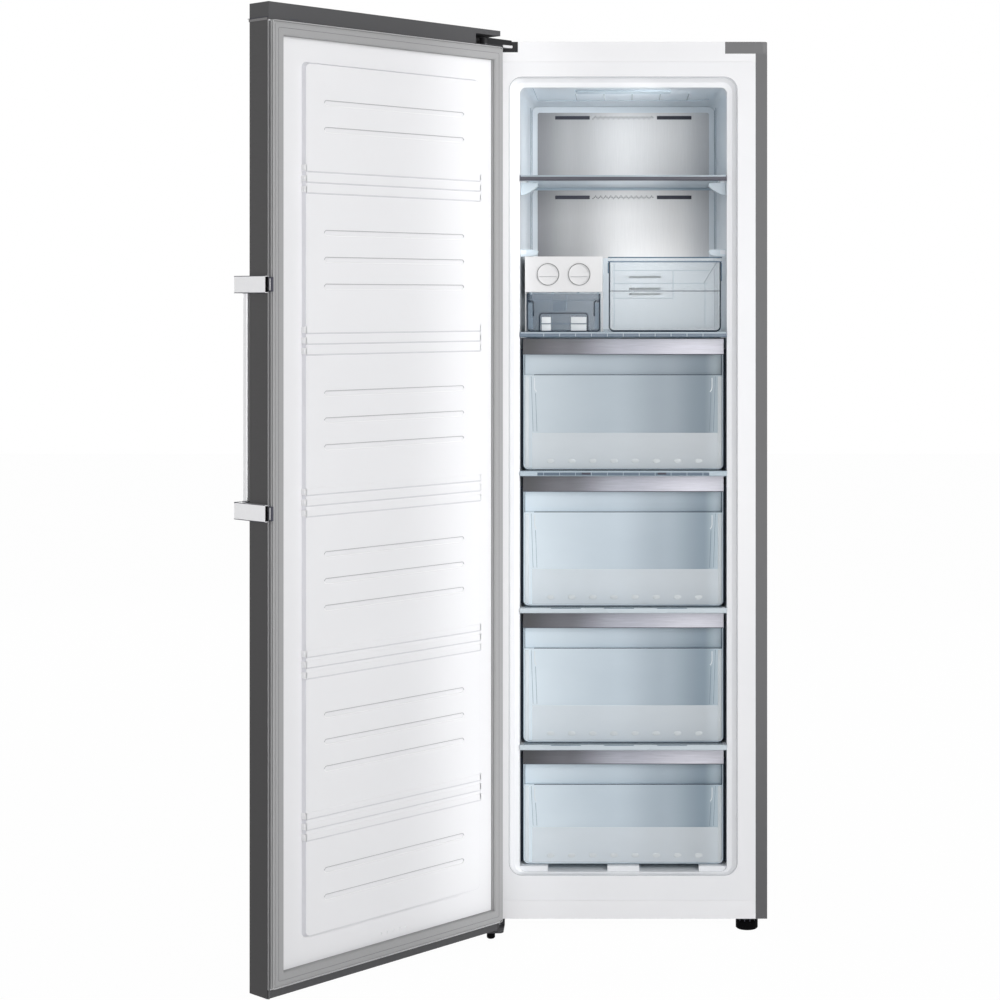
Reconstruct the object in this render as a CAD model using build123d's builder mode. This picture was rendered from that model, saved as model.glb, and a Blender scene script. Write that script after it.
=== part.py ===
"""Upright freezer, one left-hinged door, shown with its door open.

X runs to the right, Y to the back and Z up. The origin is on the floor, under the
middle of the cabinet's front face. Sizes are in millimetres. The door and all that
it carries are drawn shut and are then swung open about the hinge line.
"""

from math import cos, pi, radians, sin
import os

from build123d import *

os.makedirs("parts", exist_ok=True)

# ---------------------------------------------------------------- driving sizes
# Cabinet
cabinet_width = 595.0
cabinet_depth = 590.0
cabinet_height = 1813.0
floor_gap = 27.0
steel_sheet = 1.0
flange_width = 24.0
rail_top_height = 42.0
rail_bottom_height = 38.0
rail_depth = 22.0
rail_wall = 2.0
corner_trim_length = 87.0
corner_trim_height = 24.5
hinge_cover_length = 79.5
hinge_cover_height = 21.7
trim_facet = 8.5
trim_corner = 4.0
seam_chamfer = 1.0
swage_height = 1.5
swage_length = 430.0
swage_width = 18.0
swage_count = 5
swage_pitch = 250.0

# Inside of the cabinet
liner_wall = 2.0
bezel_half_width = 236.0
rim_half_width = 215.0
back_half_width = 207.2
liner_floor = 120.0
ceiling_foam = 93.0
bezel_floor_drop = 3.5
bezel_ceiling_rise = 20.5
bezel_radius = 27.0
rim_radius = 13.0
cove_depth = 15.0
cove_steps = 3
back_foam = 75.0
hump_depth = 258.0
hump_top = 352.0
duct_depth = 60.0
duct_sheet = 2.5
duct_rib_play = 8.0
floor_pad_height = 10.0
floor_pad_width = 58.0
middle_pad_width = 66.0
pad_front = 22.0

# Machine room
machine_depth = 208.0
machine_ceiling = 305.0
base_sheet = 1.5
base_lip = 32.0
louvre_count = 7
louvre_pitch = 24.0
louvre_length = 200.0
louvre_height = 8.0

# Glass shelves, from the top
shelf_tops = [1565.0, 1240.0, 952.0, 668.0, 384.0]
shelf_trim_height = 11.0
shelf_trim_depth = 15.0
trim_lip = 4.0
shelf_front = 10.0
glass_thickness = 4.0
glass_half_width = 206.0
glass_play = 3.0
ledge_height = 9.0
ledge_half_gap = 203.0
ledge_front = 57.0
spare_ledge_top = 1411.0

# Drawers
drawer_front = 38.0
drawer_half_width = 209.0
drawer_wall = 2.5
drawer_back_play = 17.0
low_drawer_back_play = 8.0
tub_half_width = 199.0
tub_taper = 4.0
strip_height = 33.0
strip_sheet = 1.2
grip_height = 43.0
grip_depth = 14.0
drawer_radius = 12.0
drawer_play = 1.0
first_drawer_play = 3.0
slide_gap = 0.3

# Ice maker, ice bucket and small drawer
ice_left = -205.0
ice_right = -44.0
ice_top = 1397.0
ice_bottom = 1323.0
ice_depth = 210.0
ice_wall = 2.0
ice_front = 40.0
leg_width = 2.0
leg_depth = 180.0
leg_setback = 12.0
knob_radius = 22.8
knob_gap = 0.5
knob_proud = 2.0
knob_bar = 8.0
knob_rim = 1.6
knob_pocket_sides = 24
tray_pitch = 65.0
tray_axis_height = 1359.7
tray_width = 50.0
tray_height = 24.0
tray_wall = 1.6
tray_length = 180.0
tray_cells = 5
bucket_height = 80.0
bucket_width = 152.0
bucket_depth = 225.0
pull_width = 101.0
pull_height = 39.0
pull_depth = 5.0
small_left = -33.0
small_right = 206.5
small_height = 155.7
small_depth = 330.0
small_rim = 10.0
small_step = 3.0

# Air duct, evaporator and fan
plate_half_width = 195.0
plate_drop = 14.0
plate_bottom = 1402.0
plate_sheet = 1.2
lamp_middle = 89.0
lamp_width = 202.0
lamp_depth = 54.0
lamp_drop = 4.0
slot_length = 79.0
slot_height = 8.5
return_slot_height = 5.0
slot_offset = 116.0
slot_rows = [1722.0, 1540.5]
return_slots = [1359.0, 1332.0, 1320.0]
return_slot_length = 72.0
return_slot_x = 49.0
fan_axis_height = 1290.0
fan_radius = 52.0
fan_hub_radius = 17.0
fan_hub_sides = 20
fan_blades = 5
fan_depth = 16.0
blade_root = 4.0
blade_pitch = 40
blade_sheet = 1.6
blade_width = 22.0
coil_half_width = 175.0
coil_height = 260.0
coil_low = 780.0
coil_depth = 42.0
fin_count = 14
tube_radius = 4.6
tube_sides = 6
bend_radius = 20.0
heater_drop = 26.0
heater_inset = 20.0
motor_radius = 23.0
motor_depth = 24.0
motor_bracket_sheet = 4.0
motor_bracket_height = 30.0

# Compressor
compressor_radius = 72.0
compressor_height = 168.0
compressor_sides = 20
dome_taper = 30
dome_height = 20.0
weld_flange = 4.0
weld_height = 5.0
compressor_x = 55.0
compressor_setback = 106.0
base_plate_sheet = 3.5
relay_box_depth = 26.0
mount_height = 18.0
mount_radius = 13.0
mount_sides = 12
mount_spacing_x = 170.0
mount_spacing_y = 110.0
pan_width = 160.0
pan_depth = 130.0
pan_height = 30.0
pan_flare = 6

# Feet and rollers
foot_radius = 23.0
foot_x = 257.0
foot_y = 32.0
foot_stem_radius = 5.0
foot_grips = 16
foot_sole_height = 17.0
post_radius = 8.5
post_sides = 16
post_x = -271.0
roller_radius = 12.5
roller_width = 18.0
roller_x = 250.0
roller_setback = 45.0
axle_radius = 3.0
shaft_clearance = 0.05

# Door, drawn shut
door_gap = 12.0
door_thickness = 59.0
door_drop = 7.5
door_rise = 15.5
door_cap_height = 33.5
door_foot_height = 16.5
door_cap_wall = 3.0
door_edge_radius = 4.0
door_lip = 6.0
corner_cap_length = 74.0
hinge_notch_length = 69.0
hinge_notch_height = 23.0
cap_floor = 2.5
door_liner_wall = 3.5
gasket_side_width = 23.5
gasket_end_width = 28.0
gasket_inset = 3.0
gasket_low = 38.0
gasket_play = 0.8
panel_half_width = 226.5
panel_middle = -7.0
panel_low = 117.0
panel_drop = 105.5
panel_raise = 9.0
panel_slope = 3.0
panel_radius = 10.0
groove_length = 360.5
groove_height = 10.5
groove_sink = 2.0
groove_pitch = 50.5
top_groove_drop = 99.1
bottom_groove_rise = 92.2
band_drop = 217.5
band_pitch = 302.0
band_count = 5
bar_count = 3
bar_pitch = 20.0
bar_height = 11.5
bar_raise = 1.5
bar_inset = 1.0
vent_count = 5
vent_pitch = 15.6
vent_radius = 2.2
vent_sides = 6
vent_height = 82.0

# Hinges
hinge_x = -283.5
hinge_y = -43.0
door_open_angle = 132.35
pin_radius = 5.0
pin_length = 27.0
bush_radius = 8.0
bush_sides = 16
arm_sheet = 4.5
arm_radius = 11.0
arm_left = -262.0
arm_right = -231.0
arm_cover_height = 12.5
bracket_sheet = 4.0
bracket_gap = 3.0
bracket_reach = 60.0
bracket_right = -245.0

# Handle
handle_sheet = 8.0
handle_wall = 1.2
handle_pocket = 14.0
handle_reach = 35.0
arm_height = 31.2
lower_arm = 897.5
upper_arm = 1319.0
handle_bar_width = 32.5
handle_bar_inset = 21.0
handle_bar_depth = 13.0
clip_height = 26.0
clip_reach = 10.5
clip_cover = 2.6

# ---------------------------------------------------------------- derived places
half_width = cabinet_width / 2
cabinet_bottom = floor_gap
cabinet_top = floor_gap + cabinet_height
inside_half = half_width - steel_sheet
back_inside = cabinet_depth - steel_sheet
flange_inner = half_width - flange_width
rail_line = cabinet_top - rail_top_height
corner_trim_line = cabinet_top - corner_trim_height
hinge_cover_line = cabinet_top - hinge_cover_height
liner_ceiling = cabinet_top - ceiling_foam
liner_back = cabinet_depth - back_foam
hump_front = cabinet_depth - hump_depth
duct_front = liner_back - duct_depth
machine_front = cabinet_depth - machine_depth
glass_back = duct_front - glass_play
base_line = cabinet_bottom + rail_bottom_height
door_back = -door_gap
door_face = door_back - door_thickness
door_bottom = cabinet_bottom - door_drop
door_top = cabinet_top + door_rise
panel_high = door_top - panel_drop
skin_back = door_back - door_liner_wall
door_cap_line = door_top - door_cap_height
door_foot_line = door_bottom + door_foot_height
hinge_axis = Axis((hinge_x, hinge_y, 0), (0, 0, 1))


# ---------------------------------------------------------------- small helpers
def upright(y):
    """A plane across the cabinet at depth y: its x is X, its y is Z, its normal is -Y."""
    return Plane.XZ.offset(-y)


def level(z):
    """A horizontal plane at height z."""
    return Plane.XY.offset(z)


def block(low, high, mode=Mode.ADD):
    """A box between two opposite corners."""
    size = [b - a for a, b in zip(low, high)]
    with Locations(tuple((a + b) / 2 for a, b in zip(low, high))):
        Box(*size, mode=mode)


def panel(low, high, radius=0.0, mode=Mode.ADD):
    """A flat rectangle between two opposite corners of a sketch."""
    width, height = high[0] - low[0], high[1] - low[1]
    with Locations(((low[0] + high[0]) / 2, (low[1] + high[1]) / 2)):
        if radius > 0:
            RectangleRounded(width, height, radius, mode=mode)
        else:
            Rectangle(width, height, mode=mode)


def cut_corner_panel(width, height, cut):
    """A flat rectangle with its four corners cut off, about the present location."""
    half, tall = width / 2, height / 2
    Polygon(
        (-half, cut - tall), (cut - half, -tall), (half - cut, -tall), (half, cut - tall),
        (half, tall - cut), (half - cut, tall), (cut - half, tall), (-half, tall - cut),
        align=None,
    )


def save(builder, name):
    """Label a fixed piece and write it."""
    builder.part.label = name
    export_step(builder.part, f"parts/{name}.step")


def save_swung(builder, name):
    """Swing a piece of the door to its open place, label it and write it."""
    builder.part = builder.part.rotate(hinge_axis, -door_open_angle)
    save(builder, name)


def wall_at(y):
    """Half the compartment's width at depth y."""
    share = (y - cove_depth) / (liner_back - cove_depth)
    return rim_half_width + (back_half_width - rim_half_width) * share


def compartment_form(grow):
    """The food compartment, with a cove round its mouth, grown outwards by the given wall."""
    with BuildPart() as form:
        for step in range(cove_steps + 1):
            turn = step / cove_steps * pi / 2
            left = cos(turn)
            with BuildSketch(upright((cove_depth + grow) * sin(turn))):
                half = rim_half_width + (bezel_half_width - rim_half_width) * left
                low = liner_floor - bezel_floor_drop * left
                high = liner_ceiling + bezel_ceiling_rise * left
                radius = rim_radius + (bezel_radius - rim_radius) * left
                panel((-half - grow, low - grow), (half + grow, high + grow), radius + grow)
        with BuildSketch(upright(liner_back + grow)):
            panel(
                (-back_half_width - grow, liner_floor - grow),
                (back_half_width + grow, liner_ceiling + grow),
                rim_radius + grow,
            )
        loft(ruled=True)
        block(
            (-half_width, hump_front + grow, liner_floor - 2 * liner_wall),
            (half_width, cabinet_depth, hump_top - grow),
            Mode.SUBTRACT,
        )
    return form.part


def raised_form(shrink):
    """The door panel's raised field, drawn in from its outline by the given wall."""
    with BuildPart() as form:
        for rise, inset in ((0.0, shrink), (panel_raise, shrink + panel_slope)):
            with BuildSketch(upright(door_back + rise - shrink)):
                panel(
                    (panel_middle - panel_half_width + inset, panel_low + inset),
                    (panel_middle + panel_half_width - inset, panel_high - inset),
                    panel_radius,
                )
        loft(ruled=True)
    return form.part


def bent_tube(places):
    """A tube with flat sides through the given places, each with the way it runs there."""
    with BuildPart() as tube:
        for place, heading in places:
            with BuildSketch(Plane(place, x_dir=(0, 1, 0), z_dir=heading)):
                RegularPolygon(tube_radius, tube_sides)
        loft(ruled=True)
    return tube.part


liner_outside = compartment_form(liner_wall)
liner_inside = compartment_form(0.0)
field_outside = raised_form(0.0)
field_inside = raised_form(door_liner_wall)

# ================================================================ cabinet body
# Steel wrap: two sides and a top in one sheet, with a flange down each front edge.
with BuildPart() as cabinet_wrap:
    with BuildSketch(upright(0)):
        panel((-half_width, cabinet_bottom), (half_width, cabinet_top))
        panel(
            (-inside_half, cabinet_bottom),
            (inside_half, cabinet_top - steel_sheet),
            mode=Mode.SUBTRACT,
        )
    extrude(amount=-back_inside)
    with BuildSketch(upright(0)):
        panel((-half_width, cabinet_bottom), (-flange_inner, hinge_cover_line))
        panel((flange_inner, cabinet_bottom), (half_width, corner_trim_line))
    extrude(amount=-steel_sheet)
    block((-half_width, 0, hinge_cover_line), (0, rail_depth, cabinet_top), Mode.SUBTRACT)
    block((0, 0, corner_trim_line), (half_width, rail_depth, cabinet_top), Mode.SUBTRACT)
save(cabinet_wrap, "cabinet_wrap")

# Back panel, stiffened by pressed beads.
with BuildPart() as back_panel:
    with BuildSketch(upright(back_inside)):
        panel((-half_width, machine_ceiling), (half_width, cabinet_top))
    extrude(amount=-steel_sheet)
    bead_middle = (machine_ceiling + cabinet_top) / 2
    with BuildSketch(upright(cabinet_depth)):
        with Locations((0, bead_middle)):
            with GridLocations(0, swage_pitch, 1, swage_count):
                cut_corner_panel(swage_length, swage_width, swage_width / 3)
    extrude(amount=-swage_height)
save(back_panel, "back_panel")

# Base tray with an upstand behind the bottom rail and a nut boss for the right foot.
base_front = rail_wall + rail_depth - liner_wall - steel_sheet
with BuildPart() as base_tray:
    with BuildSketch(Plane.YZ):
        with BuildLine():
            Polyline(
                (base_front, cabinet_bottom),
                (back_inside, cabinet_bottom),
                (back_inside, cabinet_bottom + base_sheet),
                (base_front + base_sheet, cabinet_bottom + base_sheet),
                (base_front + base_sheet, cabinet_bottom + base_lip),
                (base_front, cabinet_bottom + base_lip),
                close=True,
            )
        make_face()
    extrude(amount=inside_half, both=True)
    with BuildSketch(level(cabinet_bottom)):
        with Locations((foot_x, foot_y)):
            Rectangle(4 * foot_stem_radius, 4 * foot_stem_radius)
    extrude(amount=base_lip / 2)
    with BuildSketch(level(cabinet_bottom)):
        with Locations((foot_x, foot_y)):
            Circle(foot_stem_radius + shaft_clearance)
    extrude(amount=base_lip / 2, mode=Mode.SUBTRACT)
save(base_tray, "base_tray")

# Foam between the wrap and the liner; the machine room is left free at the lower back.
with BuildPart() as cabinet_foam:
    foam_low = cabinet_bottom + base_sheet
    foam_high = cabinet_top - steel_sheet
    with BuildSketch(Plane.YZ):
        with BuildLine():
            Polyline(
                (base_front + base_sheet, foam_low),
                (base_front + base_sheet, base_line),
                (liner_wall, base_line),
                (liner_wall, rail_line),
                (rail_depth, rail_line),
                (rail_depth, foam_high),
                (back_inside, foam_high),
                (back_inside, machine_ceiling),
                (machine_front, machine_ceiling),
                (machine_front, foam_low),
                close=True,
            )
        make_face()
    extrude(amount=inside_half, both=True)
    add(liner_outside, mode=Mode.SUBTRACT)
    with BuildSketch(level(foam_low)):
        with Locations((foot_x, foot_y)):
            Rectangle(4 * foot_stem_radius, 4 * foot_stem_radius)
    extrude(amount=base_lip / 2 - base_sheet, mode=Mode.SUBTRACT)
save(cabinet_foam, "cabinet_foam")

# Inner liner with its front frame, rolled rim, shelf ledges and floor pads.
ledge_tops = [top - glass_thickness for top in shelf_tops] + [spare_ledge_top]
with BuildPart() as floor_pads:
    with BuildSketch(level(liner_floor - liner_wall / 2)):
        for low, high in (
            (-rim_half_width, -rim_half_width + floor_pad_width),
            (-middle_pad_width / 2, middle_pad_width / 2),
            (rim_half_width - floor_pad_width, rim_half_width),
        ):
            panel((low, pad_front), (high, hump_front + liner_wall / 2))
    extrude(amount=floor_pad_height + liner_wall / 2)
    add(liner_outside, mode=Mode.INTERSECT)

with BuildPart() as inner_liner:
    with BuildSketch(upright(0)):
        panel((-flange_inner, base_line), (flange_inner, rail_line))
    extrude(amount=-liner_wall)
    add(liner_outside)
    add(liner_inside, mode=Mode.SUBTRACT)
    for top in ledge_tops:
        with BuildSketch(level(top - ledge_height)):
            for side in (-1, 1):
                with BuildLine():
                    Polyline(
                        (side * ledge_half_gap, ledge_front),
                        (side * (wall_at(ledge_front) + liner_wall / 2), ledge_front),
                        (side * (wall_at(duct_front) + liner_wall / 2), duct_front),
                        (side * ledge_half_gap, duct_front),
                        close=True,
                    )
                make_face()
        extrude(amount=ledge_height)
    add(floor_pads.part)
save(inner_liner, "inner_liner")

# White rails over and under the opening.
with BuildPart() as front_top_rail:
    with BuildSketch(upright(0)):
        panel((-flange_inner, rail_line), (0, hinge_cover_line))
        panel((0, rail_line), (flange_inner, corner_trim_line))
        panel(
            (-half_width + hinge_cover_length, rail_line),
            (half_width - corner_trim_length, cabinet_top),
        )
    extrude(amount=-rail_wall)
    block(
        (-half_width + hinge_cover_length, 0, cabinet_top - rail_wall),
        (half_width - corner_trim_length, rail_depth, cabinet_top),
    )
    block((-flange_inner, 0, rail_line), (flange_inner, rail_depth, rail_line + rail_wall))
    lowest = front_top_rail.edges().filter_by(Axis.X).group_by(Axis.Z)[0]
    chamfer(lowest.sort_by(Axis.Y)[0], length=seam_chamfer)
save(front_top_rail, "front_top_rail")

with BuildPart() as front_bottom_rail:
    with BuildSketch(Plane.YZ):
        with BuildLine():
            Polyline(
                (0, cabinet_bottom),
                (base_front, cabinet_bottom),
                (base_front, cabinet_bottom + rail_wall),
                (rail_wall, cabinet_bottom + rail_wall),
                (rail_wall, base_line - rail_wall),
                (base_front, base_line - rail_wall),
                (base_front, base_line),
                (0, base_line),
                close=True,
            )
        make_face()
    extrude(amount=flange_inner, both=True)
    highest = front_bottom_rail.edges().filter_by(Axis.X).group_by(Axis.Z)[-1]
    chamfer(highest.sort_by(Axis.Y)[0], length=seam_chamfer)
save(front_bottom_rail, "front_bottom_rail")

# Grey corner trim, top right, with a facet at its outer edge.
with BuildPart() as corner_trim:
    with BuildSketch(level(corner_trim_line)):
        panel((half_width - corner_trim_length, 0), (half_width, rail_depth))
        panel(
            (half_width - corner_trim_length + rail_wall, rail_wall),
            (half_width - rail_wall, rail_depth),
            mode=Mode.SUBTRACT,
        )
    extrude(amount=corner_trim_height)
    block(
        (half_width - corner_trim_length, 0, cabinet_top - rail_wall),
        (half_width, rail_depth, cabinet_top),
    )
    facet = corner_trim.edges().filter_by(Axis.Z).sort_by(Axis.X)[-2:].sort_by(Axis.Y)[0]
    chamfer(facet, length=rail_wall / 2, length2=trim_facet)
    top_edges = corner_trim.edges().filter_by(Axis.Y).group_by(Axis.Z)[-1]
    chamfer(top_edges.sort_by(Axis.X)[-1], length=trim_corner, length2=rail_wall / 2)
save(corner_trim, "corner_trim")

# Hinge cover, top left: a cap on the cabinet and a hood over the hinge arm.
arm_low = door_cap_line + cap_floor + 1.0
arm_high = arm_low + arm_sheet


def arm_outline(grow=0.0):
    """The hinge arm seen from above, from the pin back into the cabinet."""
    with Locations((hinge_x, hinge_y)):
        Circle(arm_radius + grow)
    panel((arm_left - grow, 0), (arm_right + grow, rail_depth))
    make_hull()


with BuildPart() as hinge_cover:
    cover_right = -half_width + hinge_cover_length
    with BuildSketch(level(hinge_cover_line)):
        panel((-half_width, 0), (cover_right, rail_depth))
        panel(
            (-half_width + rail_wall, rail_wall),
            (cover_right - rail_wall, rail_depth),
            mode=Mode.SUBTRACT,
        )
    extrude(amount=hinge_cover_height)
    block(
        (-half_width, 0, cabinet_top - rail_wall),
        (cover_right, rail_depth, cabinet_top),
    )
    with BuildSketch(level(arm_high)):
        arm_outline()
    extrude(amount=arm_cover_height)
    block(
        (arm_left, rail_wall, arm_high),
        (arm_right, rail_depth, arm_high + arm_cover_height - rail_wall),
        Mode.SUBTRACT,
    )
    with BuildSketch(level(arm_low)):
        arm_outline()
    extrude(amount=arm_sheet, mode=Mode.SUBTRACT)
save(hinge_cover, "hinge_cover")

# Top hinge: an arm over the door with its pin pointing down, and a plate behind the rail.
with BuildPart() as top_hinge_bracket:
    with BuildSketch(level(arm_low)):
        arm_outline()
    extrude(amount=arm_sheet)
    with BuildSketch(level(arm_low - pin_length)):
        with Locations((hinge_x, hinge_y)):
            Circle(pin_radius)
    extrude(amount=pin_length)
    block(
        (arm_left, rail_depth - bracket_sheet, hinge_cover_line + rail_wall),
        (arm_right, rail_depth, cabinet_top - 2 * rail_wall),
    )
save(top_hinge_bracket, "top_hinge_bracket")

# Bottom hinge: a cranked plate from under the cabinet to the pin below the door.
tongue_high = door_bottom - bracket_gap
tongue_low = tongue_high - bracket_sheet
with BuildPart() as bottom_hinge_bracket:
    with BuildSketch(Plane.YZ.offset(-half_width + 2)):
        with BuildLine():
            Polyline(
                (hinge_y - arm_radius, tongue_low),
                (bracket_sheet, tongue_low),
                (bracket_sheet, cabinet_bottom - bracket_sheet),
                (bracket_reach, cabinet_bottom - bracket_sheet),
                (bracket_reach, cabinet_bottom),
                (0, cabinet_bottom),
                (0, tongue_high),
                (hinge_y - arm_radius, tongue_high),
                close=True,
            )
        make_face()
    extrude(amount=bracket_right + half_width - 2)
    fillet(
        bottom_hinge_bracket.edges().filter_by(Axis.Z).group_by(Axis.Y)[0],
        radius=arm_radius - 1,
    )
    with BuildSketch(level(tongue_high)):
        with Locations((hinge_x, hinge_y)):
            Circle(pin_radius)
    extrude(amount=pin_length)
    with BuildSketch(level(tongue_low)):
        with Locations((post_x, hinge_y)):
            Circle(foot_stem_radius - 1 + shaft_clearance)
    extrude(amount=bracket_sheet, mode=Mode.SUBTRACT)
save(bottom_hinge_bracket, "bottom_hinge_bracket")

# ================================================================ cold air parts
# Duct panel: the inside back wall, with air slots where the steel plate has none.
duct_half = wall_at(duct_front) - 0.6
with BuildPart() as duct_panel:
    with BuildSketch(upright(duct_front)) as sketch:
        panel((-duct_half, hump_top), (duct_half, liner_ceiling - 0.4))
        fillet(sketch.vertices().group_by(Axis.Y)[-1], radius=rim_radius)
        for row in slot_rows:
            with Locations((-slot_offset, row), (slot_offset, row)):
                Rectangle(slot_length, slot_height, mode=Mode.SUBTRACT)
        for row in return_slots:
            with Locations((return_slot_x, row)):
                Rectangle(return_slot_length, return_slot_height, mode=Mode.SUBTRACT)
    extrude(amount=-duct_sheet)
    for side in (-1, 1):
        low, high = sorted((side * (duct_half - 2 * duct_sheet), side * (duct_half - duct_sheet)))
        block((low, duct_front, hump_top), (high, liner_back - duct_rib_play, coil_low))
save(duct_panel, "duct_panel")

with BuildPart() as duct_face_plate:
    with BuildSketch(upright(duct_front - plate_sheet)):
        panel((-plate_half_width, plate_bottom), (plate_half_width, liner_ceiling - plate_drop), 4)
        for row in slot_rows:
            with Locations((-slot_offset, row), (slot_offset, row)):
                Rectangle(slot_length, slot_height, mode=Mode.SUBTRACT)
    extrude(amount=-plate_sheet)
save(duct_face_plate, "duct_face_plate")

# Evaporator: a finned block with its return bends, held against the liner's back.
coil_y = liner_back - coil_depth / 2
with BuildPart() as evaporator:
    with Locations((0, coil_y, coil_low + coil_height / 2)):
        Box(2 * coil_half_width, coil_depth, coil_height)
        with GridLocations(2 * coil_half_width / fin_count, 0, fin_count, 1):
            with Locations((0, -coil_depth / 4, 0)):
                Box(coil_half_width / fin_count, coil_depth / 2, coil_height, mode=Mode.SUBTRACT)
    for side in (-1, 1):
        for share in (0.2, 0.5, 0.8):
            bend = []
            for turn in (-90, -30, 30, 90):
                reach = coil_half_width + bend_radius * cos(radians(turn))
                rise = bend_radius * sin(radians(turn))
                place = (side * reach, coil_y, coil_low + coil_height * share + rise)
                bend.append((place, (-side * sin(radians(turn)), 0, cos(radians(turn)))))
            add(bent_tube(bend))
save(evaporator, "evaporator")

# Defrost heater: a rod in a shallow U below the evaporator.
with BuildPart() as defrost_heater:
    heater_half = coil_half_width - heater_inset
    heater_low = coil_low - heater_drop
    add(
        bent_tube(
            [
                ((-heater_half, coil_y, coil_low), (0, 0, -1)),
                ((-heater_half, coil_y, heater_low), (1, 0, -1)),
                ((heater_half, coil_y, heater_low), (1, 0, 1)),
                ((heater_half, coil_y, coil_low), (0, 0, 1)),
            ]
        )
    )
save(defrost_heater, "defrost_heater")

# Fan motor on a bracket in front of the liner's back, with its shaft forwards.
motor_front = liner_back - motor_bracket_sheet - motor_depth
with BuildPart() as fan_motor:
    with BuildSketch(upright(liner_back)):
        with Locations((0, fan_axis_height)):
            Rectangle(2 * fan_radius + motor_bracket_height / 2, motor_bracket_height)
    extrude(amount=motor_bracket_sheet)
    with BuildSketch(upright(liner_back - motor_bracket_sheet)):
        with Locations((0, fan_axis_height)):
            RegularPolygon(motor_radius, fan_hub_sides)
    extrude(amount=motor_depth)
    with BuildSketch(upright(motor_front)):
        with Locations((0, fan_axis_height)):
            Circle(axle_radius)
    extrude(amount=fan_depth + 3)
save(fan_motor, "fan_motor")

# Fan rotor: a hub and pitched blades on the motor's shaft.
with BuildPart() as fan_rotor:
    rotor_back = motor_front - 1.5
    with BuildSketch(upright(rotor_back)):
        with Locations((0, fan_axis_height)):
            RegularPolygon(fan_hub_radius, fan_hub_sides)
    extrude(amount=fan_depth)
    for blade in range(fan_blades):
        spoke = Plane(
            origin=(0, rotor_back - fan_depth / 2, fan_axis_height),
            x_dir=(0, 1, 0),
            z_dir=(cos(2 * pi * blade / fan_blades), 0, sin(2 * pi * blade / fan_blades)),
        )
        with BuildSketch(spoke.offset(fan_hub_radius - blade_root)):
            with Locations(Location((0, 0), blade_pitch)):
                Rectangle(blade_sheet, blade_width)
        extrude(amount=fan_radius - fan_hub_radius + blade_root)
    with BuildSketch(upright(rotor_back)):
        with Locations((0, fan_axis_height)):
            Circle(axle_radius + shaft_clearance)
    extrude(amount=fan_depth, mode=Mode.SUBTRACT)
save(fan_rotor, "fan_rotor")

# Light cover on the compartment's ceiling.
with BuildPart() as light_cover:
    with BuildSketch(level(liner_ceiling)):
        with Locations((0, lamp_middle)):
            cut_corner_panel(lamp_width, lamp_depth, lamp_depth / 8)
    extrude(amount=-lamp_drop, taper=20)
save(light_cover, "light_cover")

# ================================================================ machine room
machine_floor = cabinet_bottom + base_sheet
compressor_y = cabinet_depth - compressor_setback
shell_low = machine_floor + mount_height + base_plate_sheet - 0.5
shell_high = shell_low + compressor_height
with BuildPart() as compressor:
    # a pot with tapered ends and a weld flange round it
    weld_low = shell_low + compressor_height * 0.55
    barrel_low, barrel_high = shell_low + dome_height, shell_high - dome_height
    for start, end, radius, taper in (
        (barrel_low, barrel_high, compressor_radius, 0),
        (barrel_low, shell_low, compressor_radius, dome_taper),
        (barrel_high, shell_high, compressor_radius, dome_taper),
        (weld_low, weld_low + weld_height, compressor_radius + weld_flange, 0),
    ):
        with BuildSketch(level(start)):
            with Locations((compressor_x, compressor_y)):
                RegularPolygon(radius, compressor_sides)
        extrude(amount=end - start, taper=taper)
    with BuildSketch(level(machine_floor + mount_height)):
        with Locations((compressor_x, compressor_y)):
            Rectangle(mount_spacing_x + 2 * mount_radius, mount_spacing_y + 2 * mount_radius)
    extrude(amount=base_plate_sheet)
    block(
        (compressor_x - compressor_radius - relay_box_depth, compressor_y - 30, shell_low + 30),
        (compressor_x - compressor_radius + 10, compressor_y + 30, weld_low - 4),
    )
save(compressor, "compressor")

with BuildPart() as compressor_mounts:
    with BuildSketch(level(machine_floor)):
        with Locations((compressor_x, compressor_y)):
            with GridLocations(mount_spacing_x, mount_spacing_y, 2, 2):
                RegularPolygon(mount_radius, mount_sides)
    extrude(amount=mount_height)
save(compressor_mounts, "compressor_mounts")

# Drain pan that sits on the compressor and catches the defrost water.
with BuildPart() as drain_pan:
    with BuildSketch(level(shell_high)):
        with Locations((compressor_x, compressor_y)):
            Rectangle(pan_width, pan_depth)
    extrude(amount=pan_height, taper=-pan_flare)
    with BuildSketch(level(shell_high + rail_wall)):
        with Locations((compressor_x, compressor_y)):
            Rectangle(pan_width - 2 * rail_wall, pan_depth - 2 * rail_wall)
    extrude(amount=pan_height, taper=-pan_flare, mode=Mode.SUBTRACT)
save(drain_pan, "drain_pan")

# Louvred cover over the machine room.
with BuildPart() as machine_room_cover:
    with BuildSketch(upright(back_inside)):
        panel((-half_width, cabinet_bottom), (half_width, machine_ceiling))
        for side in (-1, 1):
            with Locations((side * half_width / 2, (cabinet_bottom + machine_ceiling) / 2)):
                with GridLocations(0, louvre_pitch, 1, louvre_count):
                    Rectangle(louvre_length, louvre_height, mode=Mode.SUBTRACT)
    extrude(amount=-steel_sheet)
save(machine_room_cover, "machine_room_cover")

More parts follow.
